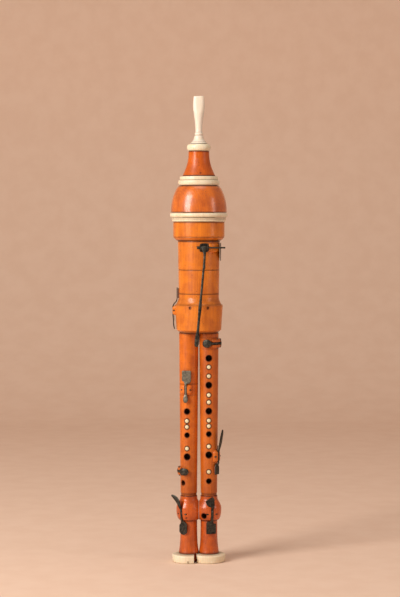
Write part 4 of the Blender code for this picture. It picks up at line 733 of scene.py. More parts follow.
# %% The beak's rows of (half-width, half-depth, height, squareness)
beak_rows = np.array(
    [
        (9.0, 9.0, 444.4, 2.0), (9.0, 9.0, 445.1, 2.0), (8.0, 8.0, 445.9, 2.0), (7.1, 7.1, 446.9, 2.0),
        (5.5, 5.5, 449.1, 2.0), (4.7, 4.7, 452.6, 2.0), (3.9, 3.9, 453.3, 2.0), (4.3, 4.3, 453.9, 2.0),
        (4.45, 4.45, 454.9, 2.0), (4.3, 4.3, 455.9, 2.0), (3.7, 3.7, 456.5, 2.0), (3.65, 3.65, 458.0, 2.0),
        (3.9, 3.9, 463.8, 2.0), (4.6, 4.5, 470.8, 2.1), (5.4, 4.9, 476.8, 2.3), (6.0, 4.5, 481.0, 2.5),
        (6.1, 3.9, 486.0, 2.7), (5.8, 3.2, 491.0, 2.9), (5.5, 2.7, 494.1, 3.0), (5.1, 2.3, 494.8, 3.0),
    ]
)
beak_inside = np.array(
    [(2.9, 0.9, 494.8, 2.5), (2.4, 1.4, 486.0, 2.2), (1.9, 1.9, 476.8, 2.0), (1.9, 1.9, 429.4, 2.0)]
)
beak_tenon = np.array([(4.4, 4.4, 429.4, 2.0), (4.5, 4.5, 429.6, 2.0), (4.5, 4.5, 444.4, 2.0)])
print("rows typed for the beak:", len(beak_rows) + len(beak_inside) + len(beak_tenon))


# %% The beak
BEAK_SIDES = 64


def filled(wave, power):
    """sign(w) |w|^p of a sine or cosine: a power below 1 fills out the corners of an oval."""
    return np.sign(wave) * np.abs(wave) ** power


def ellipse_rings(rows, sides):
    """Each row (a, b, height, n) is the curve |x / a|^n + |y / b|^n = 1 at that height."""
    angle = round_angles(sides)
    a, b, height, n = (rows[:, k : k + 1] for k in range(4))
    x = a * filled(np.cos(angle), 2 / n)
    y = b * filled(np.sin(angle), 2 / n)
    return np.stack([x, y, np.broadcast_to(height, x.shape)], axis=-1).reshape(-1, 3) * MM


knots = run_of(beak_rows[:, :3])
beak_outside = through(knots, beak_rows, np.linspace(0.0, knots[-1], 130))
rows = np.vstack([beak_tenon, beak_outside, beak_inside])
quads = grid_faces(len(rows), BEAK_SIDES, wrap_rows=True)
beak = surface("turned_mouthpiece", ellipse_rings(rows, BEAK_SIDES), quads)
dress(beak, beak_ivory, "ivory", "mouthpiece", "mouthpiece")
add_grime_and_shade(beak, levels=((444.5, 0.3, 0.8), (446.4, 0.25, 0.6), (453.3, 0.25, 0.75), (456.6, 0.25, 0.7)))
print("beak rows:", len(rows))

# %% [markdown]
# ## Carving
#
# The pipes, feet and stock were turned first and then carved: key blocks were left standing,
# and holes, slots and seats were cut. The same order works here. The body is turned, blocks are
# united with it, and all cuts are taken away with exact Booleans, whose result is kept as mesh.


# %% Places on a round body
def radial_place(centre_x, azimuth, height, local):
    """Carry local points (along the surface, up, outwards) to the body, all in mm.

    The azimuth is counted from the front towards +X. Outwards is (sin a, -cos a, 0).
    """
    turn = math.radians(azimuth)
    along = np.array([math.cos(turn), math.sin(turn), 0.0])
    outward = np.array([math.sin(turn), -math.cos(turn), 0.0])
    local = np.asarray(local, float)
    base = np.array([centre_x, 0.0, height])
    return base + local[..., :1] * along + local[..., 1:2] * (0.0, 0.0, 1.0) + local[..., 2:] * outward


def spot_on(centre_x, azimuth, height, face, radius):
    """A grime spot around a hole in a round body."""
    return (*radial_place(centre_x, azimuth, height, (0.0, 0.0, face)), radius)


print("10 mm out, 30 degrees right of the front:", radial_place(0.0, 30, 0.0, (0.0, 0.0, 10.0)).round(2))


# %% Boxes and drills
def box_tool(name, centre_x, azimuth, height, low, high):
    """A box between two local corners."""
    x, y, z = np.meshgrid(*zip(low, high), indexing="ij")
    points = radial_place(centre_x, azimuth, height, np.stack([x, y, z], axis=-1).reshape(-1, 3))
    quads = np.array([(0, 1, 3, 2), (4, 6, 7, 5), (0, 4, 5, 1), (2, 3, 7, 6), (0, 2, 6, 4), (1, 5, 7, 3)])
    return surface(name, points * MM, quads)


def spun_outwards(centre_x, azimuth, height, radius, out, sides):
    """A profile (radius, out) in mm, turned about a line that points out of a body."""
    angle = round_angles(sides)
    x, y = radius[:, None] * np.cos(angle), radius[:, None] * np.sin(angle)
    local = np.stack([x, y, np.broadcast_to(out[:, None], x.shape)], axis=-1)
    return radial_place(centre_x, azimuth, height, local.reshape(-1, 3)) * MM


def drill_tool(name, centre_x, azimuth, height, radius, inner, face, flare=0.3):
    """A drill pointing at the axis, a little wider where it leaves the face, as a worn hole is."""
    out = np.array([inner, face - 1.6, face - 0.7, face - 0.2, face + 0.3, face + 4.0])
    wide = radius + flare * np.array([0.0, 0.0, 0.25, 0.8, 1.3, 1.3])
    points = spun_outwards(centre_x, azimuth, height, wide, out, 40)
    return surface(name, points, grid_faces(6, 40), end_caps(6, 40))


# %% Blocks and slots
def saddle_tool(name, centre_x, azimuth, half_angle, height, half_height, base, top, groove=0.22):
    """A block left on a turned body.

    Along the surface its height falls as sqrt(1 - s^4), where s runs from -1 to 1 round the body.
    Across it, the face is (1 - |v|^8)^0.7, with a fine groove near each edge at |v| = 0.8.
    """
    s = np.linspace(-1.0, 1.0, 41)
    v = np.sin(np.linspace(-1.0, 1.0, 45) * math.pi / 2)
    crown = np.sqrt(np.maximum(0.0, 1 - s ** 4))[:, None]
    face = (1 - np.abs(v) ** 8) ** 0.7 - groove * np.exp(-(((np.abs(v) - 0.8) / 0.07) ** 2))
    radius = base - 0.6 + (top - base + 0.6) * crown * face
    rise = half_height * (0.74 + 0.26 * crown) * v
    angle = np.radians(azimuth + half_angle * s)[:, None]
    radius = np.hstack([radius, np.full((41, 1), base - 2.0), np.full((41, 1), base - 2.0)])
    rise = np.hstack([rise, rise[:, -1:], rise[:, :1]])
    x = centre_x + radius * np.sin(angle)
    y = -radius * np.cos(angle)
    points = np.stack([x, y, height + rise], axis=-1).reshape(-1, 3) * MM
    columns = radius.shape[1]
    return surface(name, points, grid_faces(41, columns), end_caps(41, columns))


def round_slot(name, centre_x, azimuth, half_angle, height, half_height, inner, outer):
    """A slot cut round a body: a ring segment with a rectangular section."""
    angle = np.radians(azimuth + half_angle * np.linspace(-1.0, 1.0, 33))[:, None]
    radius = np.array([inner, outer, outer, inner])
    rise = np.array([-half_height, -half_height, half_height, half_height])
    x = centre_x + radius * np.sin(angle)
    y = -radius * np.cos(angle)
    points = np.stack([x, y, np.broadcast_to(height + rise, x.shape)], axis=-1).reshape(-1, 3) * MM
    return surface(name, points, grid_faces(33, 4), end_caps(33, 4))


# %% Rods and hinge lines
def rod(name, start, end, radius, soft=0.15, sides=24):
    """A round bar with softened ends: rings whose radius falls by `soft` over the last `soft` mm."""
    start, end = np.asarray(start, float), np.asarray(end, float)
    length = np.linalg.norm(end - start)
    along = (end - start) / length
    side = np.cross(along, (0.0, 0.0, 1.0) if abs(along[2]) < 0.9 else (1.0, 0.0, 0.0))
    side /= np.linalg.norm(side)
    other = np.cross(along, side)
    angle = round_angles(sides)[:, None]
    ring = np.cos(angle) * side + np.sin(angle) * other
    edge = soft / length
    shares = np.array((0.0, 0.0, edge * 0.3, edge, 1 - edge, 1 - edge * 0.3, 1.0, 1.0))
    near_end = (0.0, radius - soft, radius - soft * 0.3, radius)
    radii = np.array(near_end + near_end[::-1])
    points = (start + shares[:, None] * (end - start))[:, None, :] + radii[:, None, None] * ring
    return surface(name, points.reshape(-1, 3) * MM, grid_faces(8, sides))


def hinge_line(name):
    """A hinge's place in mm and the direction of its axis."""
    hinge = hinges[name]
    return np.array(hinge["pos_m"]) / MM, np.array(hinge["axis"])


def hinge_rod(label, name, half, radius, soft, sides=24):
    """A rod on a hinge's axis, reaching `half` mm to both sides."""
    place, axis = hinge_line(name)
    return rod(label, place - half * axis, place + half * axis, radius, soft, sides)


print("hinges:", sum("range_deg" in hinge for hinge in hinges.values()))


# %% Uniting and cutting
def carve(piece, cuts, blocks=()):
    """Unite the blocks with a piece, take the cuts away, and keep the result as plain mesh."""
    for operation, tools in (("UNION", blocks), ("DIFFERENCE", cuts)):
        if not tools:
            continue
        box = bpy.data.collections.new(piece.name + operation)
        for tool in tools:
            box.objects.link(tool)
        modifier = piece.modifiers.new(operation, "BOOLEAN")
        modifier.operation = operation
        modifier.solver = "EXACT"
        modifier.operand_type = "COLLECTION"
        modifier.collection = box
    view = bpy.context.evaluated_depsgraph_get()
    mesh = bpy.data.meshes.new_from_object(piece.evaluated_get(view))
    piece.modifiers.clear()
    piece.data = mesh
    for tool in (*blocks, *cuts):
        bpy.data.objects.remove(tool, do_unlink=True)
    smooth(mesh)
    return piece


# %% [markdown]
# ## Stock and collar
#
# The stock is one turning: a drum, a hollow curve, a barrel with two scribed lines, and a tenon.
# It holds the two pipes below and the windways above. The carved places are a block for each
# wind cutter, the mouth of each pipe in the barrel's side, and two small peg holes in the drum.

# %% Turn the stock
RIGHT_X, LEFT_X = 10.7, -10.7
SCRIBED_LINES = (310.8, 285.6)


def barrel_face(height):
    """The barrel's radius at a height, both in mm: a straight taper."""
    return 21.3 + (height - 282.0) / 59.5


turn = np.linspace(0.0, math.pi / 2, 26)
flare = np.stack([25.4 - 4.1 * np.cos(turn) ** 1.3, 282.0 - 8.6 * np.sin(turn) ** 1.2], axis=-1)
stock_corners = [(17.1, 354.5), (17.5, 354.1), (17.5, 341.5), (22.3, 341.5, 0.3)]
for height in SCRIBED_LINES:
    radius = barrel_face(height)
    stock_corners += [(radius, height + 0.45, 0.15), (radius - 0.38, height, 0.1)]
    stock_corners.append((radius, height - 0.45, 0.15))
barrel_side = softened(stock_corners, 5)
drum_side = softened(((25.4, 272.4, 0.6), (23.7, 247.0, 0.9), (22.5, 246.3, 0.5), (20.2, 244.2, 0.2)), 6)
profile = refined(np.vstack([[(0.0, 354.5)], barrel_side, flare[:-1], drum_side, [(0.0, 244.2)]]), 1.6)
stock = turned("turned_stock", profile, segments=160)
print("points in the stock's profile:", len(profile))

# %% Carve the stock
PIN_HOLE, PIN_HOLE_EDGE = 1.0, 0.05
PEG_TURNS, PEG_HEIGHT = (-21.5, 22.0), 271.4
blocks = [
    saddle_tool("left_cutter_block", 0.0, -90, 13, 267.7, 5.2, 24.5, 28.1, 0.1),
    saddle_tool("right_cutter_block", 0.0, 47, 21, 334.6, 4.7, 22.2, 25.1, 0.16),
]
cuts = []
for centre_x in (LEFT_X, RIGHT_X):
    bore = np.array([(0.0, 356.5), (4.9, 356.5), (4.9, 262.5), (7.7, 262.5), (7.7, 242.0), (0.0, 242.0)])
    cuts.append(turned("bore", bore, centre_x, 48))
for name, side, top, drop in (("right_mouth", 1, 323.1, 8.5), ("left_mouth", -1, 287.3, 4.6)):
    low = top - 2.2
    outline = np.array([(13.9, top), (24.9, top), (24.9, low - drop * 9.2 / 5.9), (15.7, low), (13.9, low)])
    loops = [np.stack([side * outline[:, 0], np.full(5, y), outline[:, 1]], axis=-1) for y in (-3.2, 3.2)]
    cuts.append(surface(name, np.vstack(loops) * MM, grid_faces(2, 5), end_caps(2, 5)))
cuts.append(box_tool("left_cutter_slot", 0.0, -90, 268.7, (-1.7, -8.0, 24.4), (1.7, 8.0, 33.0)))
cuts.append(box_tool("left_cutter_seat", 0.0, -90, 285.9, (-4.4, -6.2, 20.8), (4.4, 6.2, 26.8)))
cuts.append(hinge_rod("left_cutter_pin_hole", "left_cutter", 8.8, PIN_HOLE, PIN_HOLE_EDGE))
for azimuth in PEG_TURNS:
    cuts.append(drill_tool("peg_hole", 0.0, azimuth, PEG_HEIGHT, 0.8, 24.1, 25.3, 0.25))
carve(stock, cuts, blocks)
dress(stock, stock_wood, "boxwood", "instrument", "stock")
# The bands at 278.5 and 274.2 mm are painted shade in the hollow curve under the barrel; the rest are dark
# joints and the two scribed lines.
rings = (
    (341.3, 0.9, 0.95), (310.8, 0.42, 1.0), (285.6, 0.42, 0.9), (278.5, 3.5, 0.22), (274.2, 1.6, 0.45),
    (244.4, 1.6, 0.9),
)
# The peg-hole spots are painted shade inside the holes.
spots = [spot_on(0.0, azimuth, PEG_HEIGHT, 25.3, 1.0) for azimuth in PEG_TURNS]
add_grime_and_shade(stock, spots, rings)
print("stock faces:", len(stock.data.polygons))

# %% The collar
collar_corners = (
    (15.0, 382.4, 0.3), (16.9, 382.4, 0.4), (16.9, 361.6), (27.2, 361.6, 0.4), (27.2, 346.2, 0.25),
    (26.75, 345.7, 0.1), (26.9, 345.0, 0.4), (23.4, 341.8, 0.5), (17.8, 341.8, 0.2), (17.8, 354.8),
    (15.0, 354.8),
)
collar = turned("turned_collar", refined(softened(collar_corners), 1.5), segments=160)
dress(collar, stock_wood, "boxwood", "instrument", "collar")
add_grime_and_shade(collar, levels=((361.5, 0.7, 0.8), (345.6, 0.35, 0.9), (341.9, 0.6, 0.9)))
print("collar turned")

# %% [markdown]
# ## Pipes
#
# Each pipe tapers a little from the stock to the foot. Its finger holes have worn, dark rims, and painted
# shade inside.
# Between them are shallow holes for ivory studs, which guide the fingers. The key blocks are
# bands left standing when the pipe was turned, cut back to short saddles and slotted.

# %% Turn the pipes
PIPE_TOP, PIPE_LOW = 243.9, 73.5


def pipe_face(height):
    """The pipe's radius at a height, both in mm: a straight taper."""
    return 8.8 + 1.55 * (height - PIPE_LOW) / (PIPE_TOP - PIPE_LOW)


def pipe_body(name, centre_x):
    """A taper with a tenon at both ends, its bore inside."""
    corners = [
        (6.9, 261.9), (7.4, 261.4), (7.4, PIPE_TOP), (10.35, PIPE_TOP, 0.5), (8.8, PIPE_LOW, 0.3),
        (8.3, PIPE_LOW), (8.3, 71.2), (6.3, 71.2), (6.3, 58.9), (4.0, 58.9), (4.7, 261.9),
    ]
    return turned(name, refined(softened(corners), 1.1), centre_x, 112)


right_pipe = pipe_body("turned_right_pipe", RIGHT_X)
left_pipe = pipe_body("turned_left_pipe", LEFT_X)
print("points in one turned pipe:", len(right_pipe.data.vertices))

# %% Blocks, slots and seats of a pipe
BORE_REACH, VENT_RADIUS, SLOT_HALF = 2.0, 2.4, 1.55


def key_block(centre_x, azimuth, half_angle, height, half_height, groove=0.22):
    """A saddle that stands 3.2 mm proud of the pipe."""
    face = pipe_face(height)
    return saddle_tool("block", centre_x, azimuth, half_angle, height, half_height, face, face + 3.2, groove)


def slot_up(centre_x, azimuth, height, half_height):
    """The slot of a key that runs up the pipe."""
    face = pipe_face(height)
    low, high = (-SLOT_HALF, -half_height, face - 0.4), (SLOT_HALF, half_height, face + 8.0)
    return box_tool("slot", centre_x, azimuth, height, low, high)


def slot_round(centre_x, azimuth, half_angle, height):
    """The slot of a key that lies round the pipe."""
    face = pipe_face(height)
    return round_slot("slot", centre_x, azimuth, half_angle, height, SLOT_HALF, face - 0.9, face + 6.2)


def seat_and_vent(centre_x, azimuth, height, face, sides, half_height, vent_azimuth):
    """A flat seat half a millimetre deep for a pad, and the tone hole in it."""
    low, high = (sides[0], -half_height, face - 0.5), (sides[1], half_height, face + 5.5)
    return [
        box_tool("seat", centre_x, azimuth, height, low, high),
        drill_tool("vent", centre_x, vent_azimuth, height, VENT_RADIUS, BORE_REACH, face, 0.1),
    ]


print("slots are", 2 * SLOT_HALF, "mm wide and tone holes", 2 * VENT_RADIUS, "mm")


# %% Cutting a pipe
STUD_HOLE_RADIUS, STUD_HOLE_DEPTH = 2.4, 2.2


def cut_pipe(pipe, centre_x, turn, holes, studs, cuts, keys, blocks, rings):
    """Drill the holes (height, radius, azimuth) and the studs' holes, and take the cuts away."""
    bored, spots = [], []
    # Each spot darkens a hole's wall and rim, and the gap round a stud: dirt on the worn rims, painted shade
    # inside the holes and gaps.
    for height, radius, azimuth in holes:
        face = pipe_face(height)
        bored.append(drill_tool("hole", centre_x, azimuth, height, radius, BORE_REACH, face))
        spots.append(spot_on(centre_x, azimuth, height, face, radius + 0.2))
    for height in studs:
        face = pipe_face(height)
        inner = face - STUD_HOLE_DEPTH
        bored.append(drill_tool("stud_hole", centre_x, turn, height, STUD_HOLE_RADIUS, inner, face, 0.1))
        spots.append(spot_on(centre_x, turn, height, face, STUD_HOLE_RADIUS + 0.1))
    pins = [hinge_rod(name + "_pin_hole", name, 9.3, PIN_HOLE, PIN_HOLE_EDGE) for name in keys]
    carve(pipe, bored + cuts + pins, blocks)
    dress(pipe, pipe_wood, "boxwood", "instrument", pipe.name.replace("turned_", ""))
    add_grime_and_shade(pipe, spots, ((243.8, 1.2, 0.8), (72.6, 1.3, 0.8), *rings), (centre_x, 6.0))
    print(pipe.name, "has", len(pipe.data.polygons), "faces")


# %% Carve the right pipe
RIGHT_TURN = -1
right_holes = ((217.3, 3.1), (188.8, 3.1), (161.2, 3.1), (136.8, 2.55), (114.6, 3.25), (86.7, 2.55))
right_studs = (208.0, 198.3, 178.3, 170.7, 151.2, 145.3, 123.7, 96.7)
cut_pipe(
    right_pipe, RIGHT_X, RIGHT_TURN,
    holes=[(*hole, RIGHT_TURN) for hole in right_holes] + [(229.9, 2.5, 180)],
    studs=right_studs,
    cuts=[
        slot_up(RIGHT_X, 58, 112.7, 7.8),
        *seat_and_vent(RIGHT_X, 58, 98.5, pipe_face(112.7), (-6.2, 3.8), 4.6, 50.7),
        slot_round(RIGHT_X, 46, 44, 233.0),
        *seat_and_vent(RIGHT_X, 98, 233.0, pipe_face(233.0), (-5.0, 5.0), 5.2, 98),
    ],
    keys=("right_side_key", "right_top_key"),
    blocks=[key_block(RIGHT_X, 60, 33, 112.7, 6.8), key_block(RIGHT_X, 46, 36, 233.0, 5.6)],
    # The bands at 239.1 and 226.9 mm are painted shade along the top key block's edges, with the stock's
    # shadow painted above it; the broad bands darken the whole pipe a little and its lower part more.
    rings=((226.9, 0.5, 0.35), (239.1, 0.6, 0.4), (150.0, 150.0, 0.2), (84.0, 45.0, 0.28)),
)

# %% Carve the left pipe
LEFT_TURN = -12
left_holes = ((160.8, 2.85, LEFT_TURN), (135.6, 2.4, LEFT_TURN), (112.6, 3.2, LEFT_TURN), (84.6, 2.4, -44))
left_studs = (150.7, 144.4, 121.4)
cut_pipe(
    left_pipe, LEFT_X, LEFT_TURN,
    holes=[*left_holes, (219.9, 2.5, 180)],
    studs=left_studs,
    cuts=[
        slot_up(LEFT_X, -15, 184.0, 6.6),
        *seat_and_vent(LEFT_X, -15, 198.35, pipe_face(184.0), (-4.4, 5.6), 5.75, -11.5),
        slot_round(LEFT_X, -71, 28, 96.9),
        *seat_and_vent(LEFT_X, -120, 96.9, pipe_face(96.9), (-5.0, 5.0), 4.8, -120),
    ],
    keys=("left_plate_key", "left_side_key"),
    blocks=[key_block(LEFT_X, -15, 38, 184.0, 5.6), key_block(LEFT_X, -71, 20, 96.9, 4.8, 0.12)],
    # The bands at 189.8 and 178.2 mm are dark lines along the plate key block's edges, partly painted shade;
    # the broad band darkens the lower part.
    rings=((189.8, 0.45, 0.6), (178.2, 0.45, 0.6), (84.0, 45.0, 0.24)),
)

# %% [markdown]
# ## Studs
#
# A stud is a small turned ivory pin with a low domed head. All of them are one profile, turned
# about a line that points out of the pipe, so a helper places the same dome again and again.


# %% The ivory studs
STUD_RADIUS = 2.15


def stud(name, centre_x, azimuth, height):
    """Radius 2.15 sin(t) mm and rise 0.9 cos(t)^0.9 mm above the pipe's face, then straight down."""
    t = np.linspace(0.0, math.pi / 2, 9)
    face = pipe_face(height)
    radius = np.concatenate([STUD_RADIUS * np.sin(t), [STUD_RADIUS, 2.0, 0.0]])
    out = np.concatenate([face + 0.9 * np.cos(t) ** 0.9, [face - 1.8, face - 1.9, face - 1.9]])
    points = spun_outwards(centre_x, azimuth, height, radius, out, 28)
    piece = surface("turned_" + name, points, grid_faces(12, 28))
    dress(piece, stud_ivory, "ivory", "instrument", name)
    # The dome darkens towards its edge, where it meets the wood.
    middle = radial_place(centre_x, azimuth, height, (0, 0, face))
    away = np.linalg.norm(points_of(piece) / MM - middle, axis=1)
    write_grime_and_shade(piece, np.clip((away - 1.75) / 0.4, 0.0, 0.85))


for number, height in enumerate(right_studs, 1):
    stud(f"right_stud_{number}", RIGHT_X, RIGHT_TURN, height)
for number, height in enumerate(left_studs, 1):
    stud(f"left_stud_{number}", LEFT_X, LEFT_TURN, height)
print("studs:", len(right_studs) + len(left_studs))

# %% [markdown]
# ## Feet
#
# A foot is a slim turned tube with a pear-shaped swelling, flattened where it meets its
# neighbour. A slot through the swelling takes the key. Each foot stands in a flared ivory ring,
# which is cut straight on its inner side so that the two pipes can stand close together.


# %% The profile of a foot
foot_rows = (
    (8.95, 70.5), (9.2, 67.2), (9.6, 66.0), (10.5, 64.6), (12.4, 60.8), (13.2, 57.6), (13.25, 54.6),
    (12.95, 51.0), (12.1, 47.6), (11.3, 45.9), (10.9, 45.2), (9.2, 44.7), (8.95, 44.0), (8.98, 34.0),
    (9.08, 28.0), (9.45, 20.0), (10.2, 13.2), (10.72, 10.2),
)
foot_rest = (
    (10.75, 9.2, 0.2), (8.2, 9.2), (8.2, 0.6, 0.3), (4.3, 0.6, 0.3), (4.3, 58.3), (6.6, 58.3),
    (6.6, 70.9, 0.2), (8.6, 70.9, 0.3),
)
foot_profile = refined(np.vstack([curved(foot_rows, 90), softened(foot_rest)]), 1.2)
print("points in a foot's profile:", len(foot_profile))

# %% Turn and carve the feet
FOOT_SEAT, FOOT_PAD_HEIGHT, SWELLING = 8.5, 36.75, 13.0


def carve_foot(side, centre_x, azimuth, seat_half, shift, hole):
    """Turn a foot, flatten its inner side, and cut its slot, its pad's seat and its hole."""
    foot = turned(f"turned_{side}_foot", foot_profile, centre_x, 112)
    low, high = sorted((0.15 * np.sign(centre_x), -20.0 * np.sign(centre_x)))
    cuts = [box_tool("flat", 0.0, 0, 0.0, (low, 0.0, -20.0), (high, 95.0, 20.0))]
    cuts.append(box_tool("slot", centre_x, azimuth, 56.0, (-SLOT_HALF, -14.0, 9.6), (SLOT_HALF, 14.0, 17.6)))
    cuts.append(hinge_rod("pin_hole", side + "_foot_key", 9.4, PIN_HOLE, PIN_HOLE_EDGE))
    low, high = (shift - 5.4, -seat_half, FOOT_SEAT), (shift + 5.4, seat_half, FOOT_SEAT + 3.0)
    cuts.append(box_tool("seat", centre_x, azimuth, FOOT_PAD_HEIGHT, low, high))
    vent_azimuth = azimuth + 5.7 * shift
    cuts.append(
        drill_tool("vent", centre_x, vent_azimuth, FOOT_PAD_HEIGHT, VENT_RADIUS, BORE_REACH, FOOT_SEAT, 0.1)
    )
    height, hole_azimuth, radius, inner = hole
    cuts.append(drill_tool("hole", centre_x, hole_azimuth, height, radius, inner, SWELLING))
    carve(foot, cuts)
    dress(foot, foot_wood, "boxwood", "instrument", side + "_foot")
    rings = ((70.8, 0.8, 0.9), (44.6, 0.8, 0.85), (9.4, 1.6, 0.8), (20.0, 6.0, 0.2))
    spot = spot_on(centre_x, hole_azimuth, height, SWELLING, radius + 0.2)
    add_grime_and_shade(foot, [spot], rings, (centre_x, 5.5))


carve_foot("left", LEFT_X, -38, 5.25, 1.0, (47.9, -12, 0.55, 11.6))
carve_foot("right", RIGHT_X, 16, 5.65, -0.7, (50.0, -25, 2.7, 2.0))
print("feet carved")


# %% The foot rings
def foot_ring(side, centre_x, radius, flat, cracks=()):
    """A flared ring, cut straight at a distance from its axis on the side of its neighbour."""
    corners = (
        (8.5, 8.9, 0.3), (11.6, 8.9, 0.8), (radius - 0.6, 8.2, 0.4), (radius, 7.4, 0.5),
        (radius - 0.25, 3.0, 1.5), (radius - 0.8, 0.7, 0.5), (radius - 1.5, 0.0, 0.4), (8.5, 0.0, 0.3),
    )
    ring = turned(f"turned_{side}_foot_ring", refined(softened(corners), 1.2), centre_x, 144)
    inner = flat * -np.sign(centre_x)
    low, high = sorted((inner, inner * 10))
    carve(ring, [box_tool("flat", centre_x, 0, 0.0, (low, -20.0, -30.0), (high, 30.0, 30.0))])
    dress(ring, ring_ivory, "ivory", "instrument", side + "_foot_ring")
    # The level at 8.9 mm is painted shade on the top face where the foot stands; the thin ones at 5.4 and
    # 3.3 mm are lines, and the one at 0.2 mm darkens the bottom edge.
    add_grime_and_shade(ring, cracks, ((8.9, 0.5, 0.5), (0.2, 0.4, 0.5), (5.4, 0.12, 0.3), (3.3, 0.12, 0.25)))


foot_ring("left", LEFT_X, 17.9, 5.5, ((-11.5, -17.8, 2.2, 0.3), (-11.2, -17.8, 0.9, 0.4)))
foot_ring("right", RIGHT_X, 17.6, 12.6)
print("foot rings cut")

# %% [markdown]
# ## Key levers
#
# A lever is a bar forged and filed from silver: a square plate over the pad, a narrow shank
# through its slot, and a spoon-shaped touch. It is a profile carried along a path. The profile
# is a rounded rectangle whose width, thickness and squareness change along the way.


# %% The swept bar
def swept_bar(name, path, outward, width, thickness, squareness, sides=32, soft=0.35):
    """Carry |x / w|^n + |y / t|^n = 1 along a path.

    Near each end the profile shrinks as a quarter circle of radius `soft`, which rounds the end.
    """
    along = np.gradient(path, axis=0)
    along /= np.linalg.norm(along, axis=1)[:, None]
    across = np.cross(along, outward)
    across /= np.linalg.norm(across, axis=1)[:, None]
    up = np.cross(across, along)
    run = run_of(path)
    near = np.minimum(run, run[-1] - run)
    inside = np.clip(soft - near, 0.0, soft)
    shrink = soft - np.sqrt(soft ** 2 - inside ** 2)
    half_width = np.maximum(width / 2 - shrink, 0.05)[:, None]
    half_rise = np.maximum(thickness / 2 - shrink, 0.05)[:, None]
    n = squareness[:, None]
    angle = round_angles(sides) + math.pi / sides
    x = half_width * filled(np.cos(angle), 2 / n)
    y = half_rise * filled(np.sin(angle), 2 / n)
    points = path[:, None, :] + x[..., None] * across[:, None, :] + y[..., None] * up[:, None, :]
    quads, ends = grid_faces(len(path), sides), end_caps(len(path), sides)
    return surface(name, points.reshape(-1, 3) * MM, quads, ends)


# %% Several shapes in one object
def joined(pieces, name):
    """Put several closed shapes into one object."""
    parts = [points_of(piece) for piece in pieces]
    faces, start = [], 0
    for piece, points in zip(pieces, parts):
        faces += [[start + index for index in face.vertices] for face in piece.data.polygons]
        start += len(points)
    mesh = bpy.data.meshes.new(name)
    mesh.from_pydata(np.vstack(parts).tolist(), [], faces)
    smooth(mesh)
    for piece in pieces:
        bpy.data.objects.remove(piece, do_unlink=True)
    return linked(name, mesh)


# %% Levers that run up a body
PATH_STEPS = 120


def barrel_of(name, half=1.1):
    """The lever's hinge barrel: a short round bar on the key's own axis."""
    return hinge_rod(name + "_barrel", name, half, 1.6, 0.2, 32)


def eased(length):
    """Places from 0 to a length, closer together near both ends: L (1 - cos t) / 2."""
    return length * (0.5 - 0.5 * np.cos(np.linspace(0.0, math.pi, PATH_STEPS)))


def upright_lever(name, centre_x, azimuth, height, face, rows, material, extras=(), half=1.1):
    """A lever that runs up the body. Rows are (rise, out, shift, width, thickness, squareness)."""
    rows = np.array(sorted(rows), float)
    knots = run_of(rows[:, :3])
    rise, out, shift, width, thickness, squareness = through(knots, rows, eased(knots[-1])).T
    path = radial_place(centre_x, azimuth, height, np.stack([shift, rise, face + out], axis=-1))
    outward = np.broadcast_to(radial_place(0.0, azimuth, 0.0, (0.0, 0.0, 1.0)), path.shape)
    bar = swept_bar(name + "_bar", path, outward, width, thickness, squareness)
    whole = joined([bar, barrel_of(name, half=half), *extras], "forged_" + name)
    return dress(whole, material, "silver", name, name)


# %% The plate key and the right side key
plate_rows = (
    (20.3, 1.8, 0.6, 8.8, 1.0, 9), (19.3, 1.8, 0.6, 10.0, 1.0, 9), (10.2, 1.8, 0.6, 10.0, 1.0, 9),
    (8.3, 1.85, 0.4, 8.2, 1.0, 7), (6.9, 2.1, 0, 3.2, 1.1, 4), (5.8, 2.7, 0, 2.3, 1.3, 4),
    (-5.0, 2.7, 0, 2.3, 1.3, 4), (-7.0, 3.1, 0, 3.9, 1.25, 3), (-8.8, 3.4, 0, 5.1, 1.2, 2.6),
    (-11.0, 3.6, 0, 5.0, 1.2, 2.5), (-12.8, 3.7, 0, 3.8, 1.1, 2.4), (-13.7, 3.7, 0, 2.2, 0.9, 2.2),
)
upright_lever("left_plate_key", LEFT_X, -15, 184.0, pipe_face(184.0), plate_rows, plate_silver)
side_rows = (
    (-19.0, 1.8, -1.2, 7.0, 1.0, 9), (-18.0, 1.8, -1.2, 7.2, 1.0, 9), (-10.3, 1.8, -1.2, 7.2, 1.0, 9),
    (-9.2, 1.85, -0.8, 6.0, 1.0, 7), (-8.2, 2.1, -0.3, 3.2, 1.1, 4), (-7.0, 2.7, 0, 2.3, 1.3, 4),
    (4.0, 2.7, 0, 2.3, 1.3, 4), (7.0, 3.4, 0, 2.8, 1.3, 3), (11.0, 4.5, 0, 4.2, 1.3, 2.6),
    (16.0, 5.6, 0, 5.2, 1.2, 2.4), (22.0, 6.7, 0, 5.0, 1.2, 2.4), (26.5, 7.6, 0, 3.8, 1.1, 2.2),
    (28.8, 8.0, 0, 1.8, 1.0, 2.2),
)
upright_lever("right_side_key", RIGHT_X, 58, 112.7, pipe_face(112.7), side_rows, key_silver)
print("two levers with", len(plate_rows), "and", len(side_rows), "rows")

